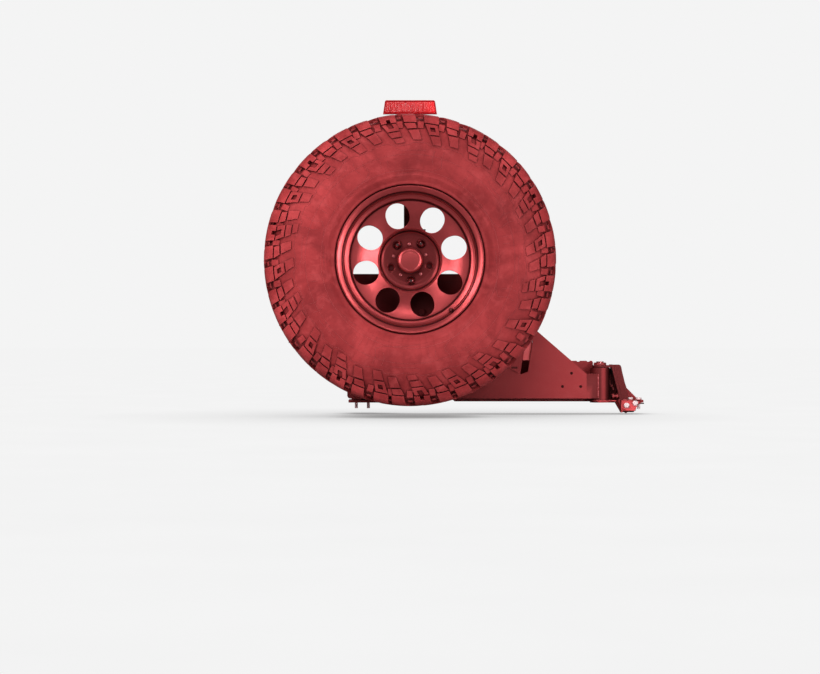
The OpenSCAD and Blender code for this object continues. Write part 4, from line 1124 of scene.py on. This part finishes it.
def add_bead(name, radius, up, path, body, tapered=True):
    """Rippled fillet bead along a path."""
    wobble = random.Random(sum(map(ord, name)))
    pitch = radius * 0.95
    up = Vector(up).normalized()
    points = [Vector(point) for point in path]
    segments, total = [], 0.0
    for a, b in zip(points, points[1:]):
        segments.append((total, (b - a).length, a, b))
        total += (b - a).length
    count = max(8, int(total / max(pitch / 5.0, 0.35)))
    verts = []
    for i in range(count + 1):
        along = total * i / count
        for start, length, a, b in segments:
            if along <= start + length + 1e-9:
                centre = a.lerp(b, (along - start) / length)
                tangent = (b - a).normalized()
                break
        side = tangent.cross(up)
        side.normalize()
        normal = side.cross(tangent).normalized()
        phase = (along / pitch) % 1.0
        ripple = 0.20 * (1 - abs(2 * phase - 1)) ** 0.6
        swell = 0.86 + ripple + 0.05 * math.sin(along * 0.9 + wobble.random() * 0.4)
        if tapered:
            from_end = min(along, total - along) / (1.3 * radius)
            if from_end < 1:
                swell *= math.sqrt(max(0.03, 1 - (1 - from_end) ** 2))
        centre = centre + side * (0.10 * radius * math.sin(along * 0.35 + 1.7))
        for j in range(BEAD_SIDES):
            turn = 2 * math.pi * j / BEAD_SIDES
            point = (centre + side * (math.cos(turn) * radius * swell)
                     + normal * (math.sin(turn) * radius * swell * BEAD_FLATNESS))
            verts.append(point * MM)
    faces = grid_faces(count + 1, BEAD_SIDES, close_columns=True)
    faces.append(tuple(range(BEAD_SIDES)))
    faces.append(tuple(count * BEAD_SIDES + j for j in reversed(range(BEAD_SIDES))))
    add_mesh(name, verts, faces, WELD, body, sharp=60, slot="coat")


# beads: name, radius, direction the bead faces, path
ARM_BEADS = [
    ("weld_bend_to_tube", 2.3, (-0.3, -1, 0), [(-121.5, -31.4, 16), (-121.5, -31.4, 92.6)]),
    ("weld_rear_to_tube", 2.4, (0.6, 0.8, 0), [(-132.2, 27.5, 18), (-132.2, 27.5, 110)]),
    ("weld_tube_roof", 2.2, (0, 0, 1),
     [(-141.0, -20, 92.8), (-134.8, 0, 92.8), (-134.8, 6, 92.8), (-138.4, 19, 92.8)]),
    ("weld_face_top", 1.8, (0, 0, 1), [(-170, -44.0, 94.6), (-300, -44.0, 94.6)]),
    ("weld_mast_left", 2.0, (-1, 0, 0), [(-786.4, -43.4, 425), (-786.4, -43.4, 553)]),
    ("weld_mast_foot", 2.0, (0, 0, 1), [(-790, -44.24, 93.4), (-790, 32, 93.4)]),
    ("weld_cap", 1.6, (0, -1, 0), [(-785.6, -44.8, 560.0), (-684.4, -44.8, 560.0)]),
    ("weld_rear_top", 1.2, (0, 0, 1), [(-590, 33.0, 92.8), (-420, 33.0, 92.8)]),
    ("weld_end_plate", 1.6, (-0.4, 0, 1), [(-853.2, -42, 92.6), (-853.2, 30, 92.6)]),
]
TOWER_BEADS = [
    ("weld_tower_front", 2.0, (0, -0.7, 0.7),
     [(TOWER_EDGE + 9, -24.8, 8.6), (-24.5, -24.8, 8.6)]),
    ("weld_tower_inner", 2.1, (-0.7, 0, 0.7),
     [(TOWER_EDGE - 0.6, -22, 8.8), (TOWER_EDGE - 0.6, 27, 8.8)]),
    ("weld_gusset", 1.9, (0, -0.7, 0.7), [(TOWER_EDGE + 10, 13.4, 8.8), (13.0, 13.4, 8.8)]),
    ("weld_flange", 2.0, (0, -1, 0),
     [(-79.0, 28.4, 90), (-77.8, 28.4, 74), (-77.2, 28.4, 60), (-74.0, 28.4, 50),
      (-70.5, 28.4, 57), (-67.5, 28.4, 46), (-65.5, 28.4, 38)]),
    ("weld_ear_tower", 1.7, (0, 0, 1), [(-79.4, -20.6, 123.0), (-79.4, 28, 123.0)]),
]
STANDOFF_X, STANDOFF_Y, STANDOFF_Z = -735, -45.0, 455
STANDOFF_RADIUS = 45.4
STANDOFF_STEPS = 48
for bead in ARM_BEADS:
    add_bead(*bead, "swing_arm")
circle = []
for i in range(STANDOFF_STEPS + 1):
    turn = math.radians(360 * i / STANDOFF_STEPS)
    circle.append((STANDOFF_X + STANDOFF_RADIUS * math.cos(turn), STANDOFF_Y,
                   STANDOFF_Z + STANDOFF_RADIUS * math.sin(turn)))
add_bead("weld_standoff_back", 2.3, (0, -1, 0), circle, "swing_arm", tapered=False)
for bead in TOWER_BEADS:
    add_bead(*bead, "bumper_side")

# ------------------------------------------------------------------ paddle finger plate
# pressed plate in the upper part of the hand slot: (z, y) rows from the top down
PLATE_ROWS = [
    (200.6, -40.3), (199.8, -40.6), (198.0, -40.9), (194.0, -41.2), (190, -41.6), (180, -41.8),
    (170, -41.8), (160, -41.8), (150, -41.8), (144, -41.9), (141.4, -42.3), (139.8, -42.6),
    (138.6, -42.2), (138.6, -40.9), (140.2, -40.3)]
PLATE_COLUMNS = [0, 0.03, 0.10, 0.25, 0.5, 0.75, 0.90, 0.97, 1.0]     # shares of the width
PLATE_BACK = -40.05                         # y of the flat back
HOLLOW_Y = (-41.9, -41.5)                   # rows in this range of y are curved across


def slot_x(z, share):
    """Place across the leaning slot, from its -X side to its +X side."""
    left = -377.2 + (z - 91.8) * 16.5 / 109.2 + 1.2
    right = -351.8 + (z - 100.6) * 15.6 / 100.4 - 0.4
    return left + (right - left) * share


def plate_y(y, share):
    y += 0.7 * (1 - min(1, min(share, 1 - share) / 0.06)) ** 2
    return y


def add_finger_plate():
    front, back = [], []
    for z, y in PLATE_ROWS:
        for share in PLATE_COLUMNS:
            across = plate_y(y, share)
            if HOLLOW_Y[0] <= y <= HOLLOW_Y[1]:
                across += 0.5 * (1 - 4 * (share - 0.5) ** 2)
            front.append((slot_x(z, share), across, z))
            back.append((slot_x(z, share), PLATE_BACK, z if z > 141 else 140.9))
    first, second, column_walls, row_walls = slab_faces(len(PLATE_ROWS), len(PLATE_COLUMNS))
    add_mesh("paddle_finger_plate", scaled(front + back),
             first + second + column_walls + row_walls,
             paddle_coat_painted_light(), "paddle", sharp=50, slot="coat")


add_finger_plate()


# ------------------------------------------------------------------ dark block and plugs for shade in the slit and holes, thrust washers
def add_slit_shade_block():
    """Small rounded dark block in the doubler's slit, standing for the shade inside it: painted
    shade.
    """
    verts = [(x, y, z) for x in (-405.9, -386.0) for y in (-50.6, -49.05)
             for z in (111.1, 117.4)]
    faces = [(0, 1, 3, 2), (4, 6, 7, 5), (0, 4, 5, 1), (2, 3, 7, 6), (0, 2, 6, 4), (1, 5, 7, 3)]
    seal = add_mesh("doubler_slit_shade_block", scaled(verts), faces, MATERIALS["soft_rubber"],
                    "swing_arm", sharp=0, slot="soft_rubber")
    bevel_edges(seal, 0.4 * MM, segments=3)
    weight_normals(seal)


def add_thrust_washer(name, bottom, top):
    """Flat ring round the pivot, closing a gap at an end of the pivot tube."""
    pivot_x, pivot_y, outer, inner, sides = -113.0, 0.0, 30.6, 17.6, 72
    verts = []
    for i in range(sides):
        turn = math.radians(360.0 * i / sides)
        for radius, z in ((inner, bottom), (outer, bottom), (outer, top), (inner, top)):
            verts.append((pivot_x + radius * math.cos(turn),
                          pivot_y + radius * math.sin(turn), z))
    faces = grid_faces(sides, 4, close_rows=True, close_columns=True, flip=True)
    add_mesh(name, scaled(verts), faces, TOWER_PAINTED_SHADE_COAT, "bumper_side", sharp=30, slot="coat")


add_slit_shade_block()
# dark plugs in the accessory holes, standing for the shade inside them: painted shade
SHADE_PLUG_RUBBER = rubber("shade_plug_rubber", (0.020, 0.002, 0.002), dusty=0.15)
add_thrust_washer("thrust_washer_top", 112.65, 113.85)
add_thrust_washer("thrust_washer_foot", 8.15, 9.35)

PLUG_HOLES = [(-209.9, 96.3), (-239.2, 53.0), (-180.0, 53.0)]         # x, z
# flanged plug, (radius, y) from its front face back into the hole
PLUG_PROFILE = [(3.9, -49.75), (4.5, -49.6), (4.7, -49.3), (4.7, -49.02), (3.42, -49.02),
                (3.42, -44.9), (3.1, -44.4)]
PLUG_SIDES = 48
for number, (hole_x, hole_z) in enumerate(PLUG_HOLES, 1):
    verts = []
    for radius, y in PLUG_PROFILE:
        for i in range(PLUG_SIDES):
            turn = math.radians(360.0 / PLUG_SIDES * i)
            verts.append((hole_x + radius * math.cos(turn), y,
                          hole_z + radius * math.sin(turn)))
    last = len(verts) - PLUG_SIDES
    faces = [tuple(range(PLUG_SIDES)), tuple(reversed(range(last, len(verts))))]
    faces += grid_faces(len(PLUG_PROFILE), PLUG_SIDES, close_columns=True)
    add_mesh("accessory_shade_plug_%d" % number, scaled(verts), faces, SHADE_PLUG_RUBBER, "swing_arm",
             sharp=40, slot="soft_rubber")

# ------------------------------------------------------------------ brake light lens
LENS_HALF_BOTTOM, LENS_HALF_TOP = 87.5, 81.4
LENS_CORNER = 6
# lens rim section: inset from the outline, y
RIM_SECTION = [(0.7, -59.4), (0.5, -60.2), (0.5, -62.6), (1.1, -63.6), (2.3, -64.0),
               (3.3, -63.8), (3.9, -62.8), (4.1, -61.6), (4.1, -59.4)]
FLUTES, FLUTE_STEPS, FLUTE_ROWS = 27, 8, 12
FLUTE_INSET = 4.2
FLUTE_Y, FLUTE_HEIGHT, FLUTE_BACK = -61.4, 1.15, -59.5


def lens_half(z, inset):
    """Half width of the lens at height z, with its top corners rounded."""
    t = (z - LENS_BOTTOM) / (LENS_TOP - LENS_BOTTOM)
    half = LENS_HALF_BOTTOM + (LENS_HALF_TOP - LENS_HALF_BOTTOM) * t - inset
    over = max(0.0, z - (LENS_TOP - LENS_CORNER))
    return half - (LENS_CORNER - math.sqrt(max(0.0, LENS_CORNER ** 2 - over * over))) * 0.9


def lens_outline(inset, y):
    """Closed outline of the light, running up its +X side first."""
    steps, level_steps = 10, 24
    bottom, top = LENS_BOTTOM + inset, LENS_TOP - inset
    heights = [bottom + (top - bottom) * i / steps for i in range(steps)]
    heights += [top - 3.0, top - 1.4, top - 0.5, top]
    heights = sorted(set(round(z, 3) for z in heights))
    right = [(LENS_X + lens_half(z, inset), y, z) for z in heights]
    left = [(LENS_X - lens_half(z, inset), y, z) for z in reversed(heights)]

    def level(start, end, z):
        return [(start[0] + (end[0] - start[0]) * i / level_steps, y, z)
                for i in range(1, level_steps)]

    return right + level(right[-1], left[0], top) + left + level(left[-1], right[0], bottom)


def add_lens_rim():
    material = plastic("lamp_rim", (0.40, 0.006, 0.011), rough=0.22)
    loops = [lens_outline(inset, y) for inset, y in RIM_SECTION]
    faces = grid_faces(len(loops), len(loops[0]), close_rows=True, close_columns=True)
    add_mesh("lens_rim", scaled(sum(loops, [])), faces, material, "swing_arm", sharp=40,
             slot="lamp_lens")


def add_lens_flutes():
    columns = FLUTES * FLUTE_STEPS
    front, back = [], []
    for j in range(FLUTE_ROWS + 1):
        z = (LENS_BOTTOM + FLUTE_INSET
             + (LENS_TOP - LENS_BOTTOM - 2 * FLUTE_INSET) * j / FLUTE_ROWS)
        half = lens_half(z, FLUTE_INSET)
        inside = min(1.0, min(j, FLUTE_ROWS - j))       # flutes die out on the outer rows
        for i in range(columns + 1):
            t = i / columns
            x = LENS_X - half + 2 * half * t
            rib = abs(math.sin(math.pi * FLUTES * t))
            front.append((x, FLUTE_Y - FLUTE_HEIGHT * rib * inside, z))
            back.append((x, FLUTE_BACK, z))
    first, second, column_walls, row_walls = slab_faces(FLUTE_ROWS + 1, columns + 1)
    faces = [face for pair in zip(first, second) for face in pair] + row_walls + column_walls
    flutes = add_mesh("lens_flutes", scaled(front + back), faces, MATERIALS["lamp_lens"],
                      "swing_arm", sharp=0, slot="lamp_lens")
    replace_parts(flutes, "light_lens")


add_lens_rim()
add_lens_flutes()

# ------------------------------------------------------------------ mould lines on the sidewalls
STEP_RADII = {"ringed": 355.0, "forked": 353.0, "narrow": 362.0}      # stepped line under the pads
STEP_LEAN = lean_at(352.83)
PANEL_ANGLES = (20, 72, 116, 158, 204, 250, 292, 338)
# lines of one panel: width, height, (degrees from the panel's angle, radius) points
PANEL_LINES = [
    (1.4, 0.6, [(0, 344), (0.6, 322), (-1.2, 296), (3.0, 281), (16, 270), (27, 266)]),
    (1.3, 0.55, [(5.0, 342), (5.6, 318), (4.2, 300)]),
    (1.2, 0.5, [(9.5, 338), (22, 335), (25, 342)]),
    (1.2, 0.5, [(31, 312), (31.4, 290)]),
    (1.2, 0.5, [(35, 314), (35.4, 292)]),
]
RING_LINES = [(276.5, 1.8), (324.0, 1.2)]   # radius, width
LINE_ROOT = -0.6                            # how far line edges sink into the sidewall


class MouldLines:
    def __init__(self):
        self.verts, self.faces = [], []

    def run(self, points, side, width, height, step=4.0):
        """Raised line through (angle, radius) points."""
        dense = []
        for a, b in zip(points, points[1:]):
            length = math.hypot((b[0] - a[0]) * math.pi / 180 * (a[1] + b[1]) / 2, b[1] - a[1])
            count = max(1, int(length / step))
            for i in range(count):
                dense.append((a[0] + (b[0] - a[0]) * i / count,
                              a[1] + (b[1] - a[1]) * i / count))
        dense.append(points[-1])
        base = len(self.verts)
        for i, (angle, radius) in enumerate(dense):
            before, after = dense[max(0, i - 1)], dense[min(len(dense) - 1, i + 1)]
            dx = (after[0] - before[0]) * math.pi / 180 * radius
            dy = after[1] - before[1]
            size = math.hypot(dx, dy) or 1
            for shift, lift in ((-width / 2, LINE_ROOT), (-width / 4, height),
                                (width / 4, height), (width / 2, LINE_ROOT)):
                at = radius + dx / size * shift
                turn = angle + math.degrees(-dy / size * shift / radius)
                self.verts.append(tyre_point(turn, at, interpolate(CARCASS, at) + lift, side))
        self.faces += grid_faces(len(dense), 4, base=base, close_columns=True, flip=side < 0)
        self.faces.append(tuple(range(base, base + 4)))
        self.faces.append(tuple(reversed(range(len(self.verts) - 4, len(self.verts)))))


lines = MouldLines()
for side in (1, -1):
    stepped = []
    for angle, kind in LUGS:
        start, radius = angle + STEP_LEAN, STEP_RADII[kind]
        stepped += [(start - 3.6, radius), (start + 3.2, radius - 1.5)]
    stepped.append((stepped[0][0] + 360, stepped[0][1]))
    lines.run(stepped, side, width=1.5, height=0.7)
    for angle in PANEL_ANGLES:
        for width, height, points in PANEL_LINES:
            lines.run([(angle + turn, radius) for turn, radius in points], side, width, height)
    for radius, width in RING_LINES:
        lines.run([(i * 2.0, radius) for i in range(181)], side, width, height=0.5, step=12)
add_tyre_part("tyre_mould_lines", (lines.verts, lines.faces))


# ------------------------------------------------------------------ camera, floor, world, lights
def add_camera():
    data = bpy.data.cameras.new("camera")
    data.sensor_width = 36.0
    data.lens = 90.0
    data.clip_end = 100
    camera = bpy.data.objects.new("camera", data)
    scene.collection.objects.link(camera)
    camera.location = (-0.735, -6.714, 0.214)
    camera.rotation_euler = (math.radians(90), 0, 0)
    scene.camera = camera


def floor_material():
    """Camera rays see a pale glow with painted soft shadows under the object; others a plain
    floor.
    """
    shader = new_shader("studio_floor")
    camera_ray, glossy_ray = shader.light_path()
    # painted shadows, darker where the object is near
    near = shader.occluded(distance=0.10, over=(0.25, 1.0), samples=8)
    wide = shader.occluded(distance=0.70, over=(0.30, 1.0), samples=8)
    tone = shader.mix(wide * 0.52, (BACKDROP,) * 3, (0.30, 0.29, 0.29))
    tone = tone.toward((0.12, 0.11, 0.11), by=near * 0.60)
    grain = shader.noise(scale=3.0).fade(over=(0.3, 0.7), to=(0.985, 1.0))
    glow = shader.add("ShaderNodeEmission", "Emission",
                      {"Color": tone.times(grain), "Strength": 1.0})
    plain = shader.add("ShaderNodeBsdfDiffuse", "BSDF",
                       {"Color": shader.mix(glossy_ray, (0.62,) * 3, (0.14,) * 3)})
    surface = shader.add("ShaderNodeMixShader", "Shader", {0: camera_ray, 1: plain, 2: glow})
    shader.node("ShaderNodeOutputMaterial", {"Surface": surface})
    return shader.owner


def add_floor():
    """Flat disc of rings, in metres."""
    centre_x, height, sides, radii = -0.5, -0.0375, 96, (1, 3, 8, 20, 40.0)
    verts = [(centre_x, 0, height)]
    for radius in radii:
        for i in range(sides):
            turn = 2 * math.pi * i / sides
            verts.append((centre_x + radius * math.cos(turn), radius * math.sin(turn), height))
    faces = [(0, 1 + i, 1 + (i + 1) % sides) for i in range(sides)]
    faces += grid_faces(len(radii), sides, base=1, close_columns=True, flip=True)
    mesh = bpy.data.meshes.new("floor")
    mesh.from_pydata(verts, [], faces)
    floor = bpy.data.objects.new("floor", mesh)
    scene.collection.objects.link(floor)
    mesh.materials.append(floor_material())


def add_world():
    """Camera rays see the pale backdrop, glossy rays a dim room, the rest an even soft fill."""
    world = bpy.data.worlds.new("studio")
    scene.world = world
    shader = Shader(world)
    camera_ray, glossy_ray = shader.light_path()
    strength = AMBIENT + camera_ray * (BACKDROP - AMBIENT) + glossy_ray * (ROOM - AMBIENT)
    background = shader.add("ShaderNodeBackground", "Background",
                            {"Color": (1, 1, 1), "Strength": strength})
    shader.node("ShaderNodeOutputWorld", {"Surface": background})


def add_softbox(name, place, aim, size, power, mirrored=True):
    data = bpy.data.lights.new(name, "AREA")
    data.shape = "RECTANGLE"
    data.size, data.size_y = size
    data.energy = power
    light = bpy.data.objects.new(name, data)
    scene.collection.objects.link(light)
    light.location = place
    direction = Vector(aim) - Vector(place)
    light.rotation_euler = direction.to_track_quat("-Z", "Y").to_euler()
    light.visible_glossy = mirrored


HUB = (-0.735, -0.25, 0.455)                # what the small lights aim at, metres
# lights round the hub: name, azimuth from -Y towards +X and elevation in degrees,
# distance and (width, height) in metres, watts
HUB_LIGHTS = [
    ("left_softbox", -31, 6, 3.0, (0.34, 0.50), 12),
    ("left_high_box", -43, 21, 3.0, (0.50, 0.50), 15),
    ("left_top_box", -26, 26, 3.0, (0.40, 0.40), 2.6),
    ("right_softbox", 38, -2, 3.0, (0.56, 0.76), 24),
    ("right_high_box", 32, 19, 3.0, (0.40, 0.40), 8),
    ("high_strip", 2, 22, 3.2, (0.7, 0.35), 7),
]


def add_lights():
    add_softbox("top_softbox", place=(-0.9, -1.9, 3.2), aim=(-0.7, -0.1, 0.4),
                size=(2.8, 1.6), power=50, mirrored=False)
    add_softbox("front_softbox", place=(-1.5, -4.6, 2.0), aim=(-0.7, -0.2, 0.4),
                size=(2.4, 1.6), power=60, mirrored=False)
    for name, azimuth, elevation, distance, size, power in HUB_LIGHTS:
        turn, rise = math.radians(azimuth), math.radians(elevation)
        place = (HUB[0] + distance * math.sin(turn) * math.cos(rise),
                 HUB[1] - distance * math.cos(turn) * math.cos(rise),
                 HUB[2] + distance * math.sin(rise))
        add_softbox(name, place, HUB, size, power)
    add_softbox("back_light", place=(-0.5, 3.0, 2.4), aim=(-0.5, 0, 0.4),
                size=(3.0, 1.6), power=30)


add_camera()
add_floor()
add_world()
add_lights()

scene.view_settings.view_transform = "Standard"
scene.view_settings.look = "None"
scene.view_settings.exposure = 0.0
scene.view_settings.gamma = 1.0
scene.cycles.use_denoising = True
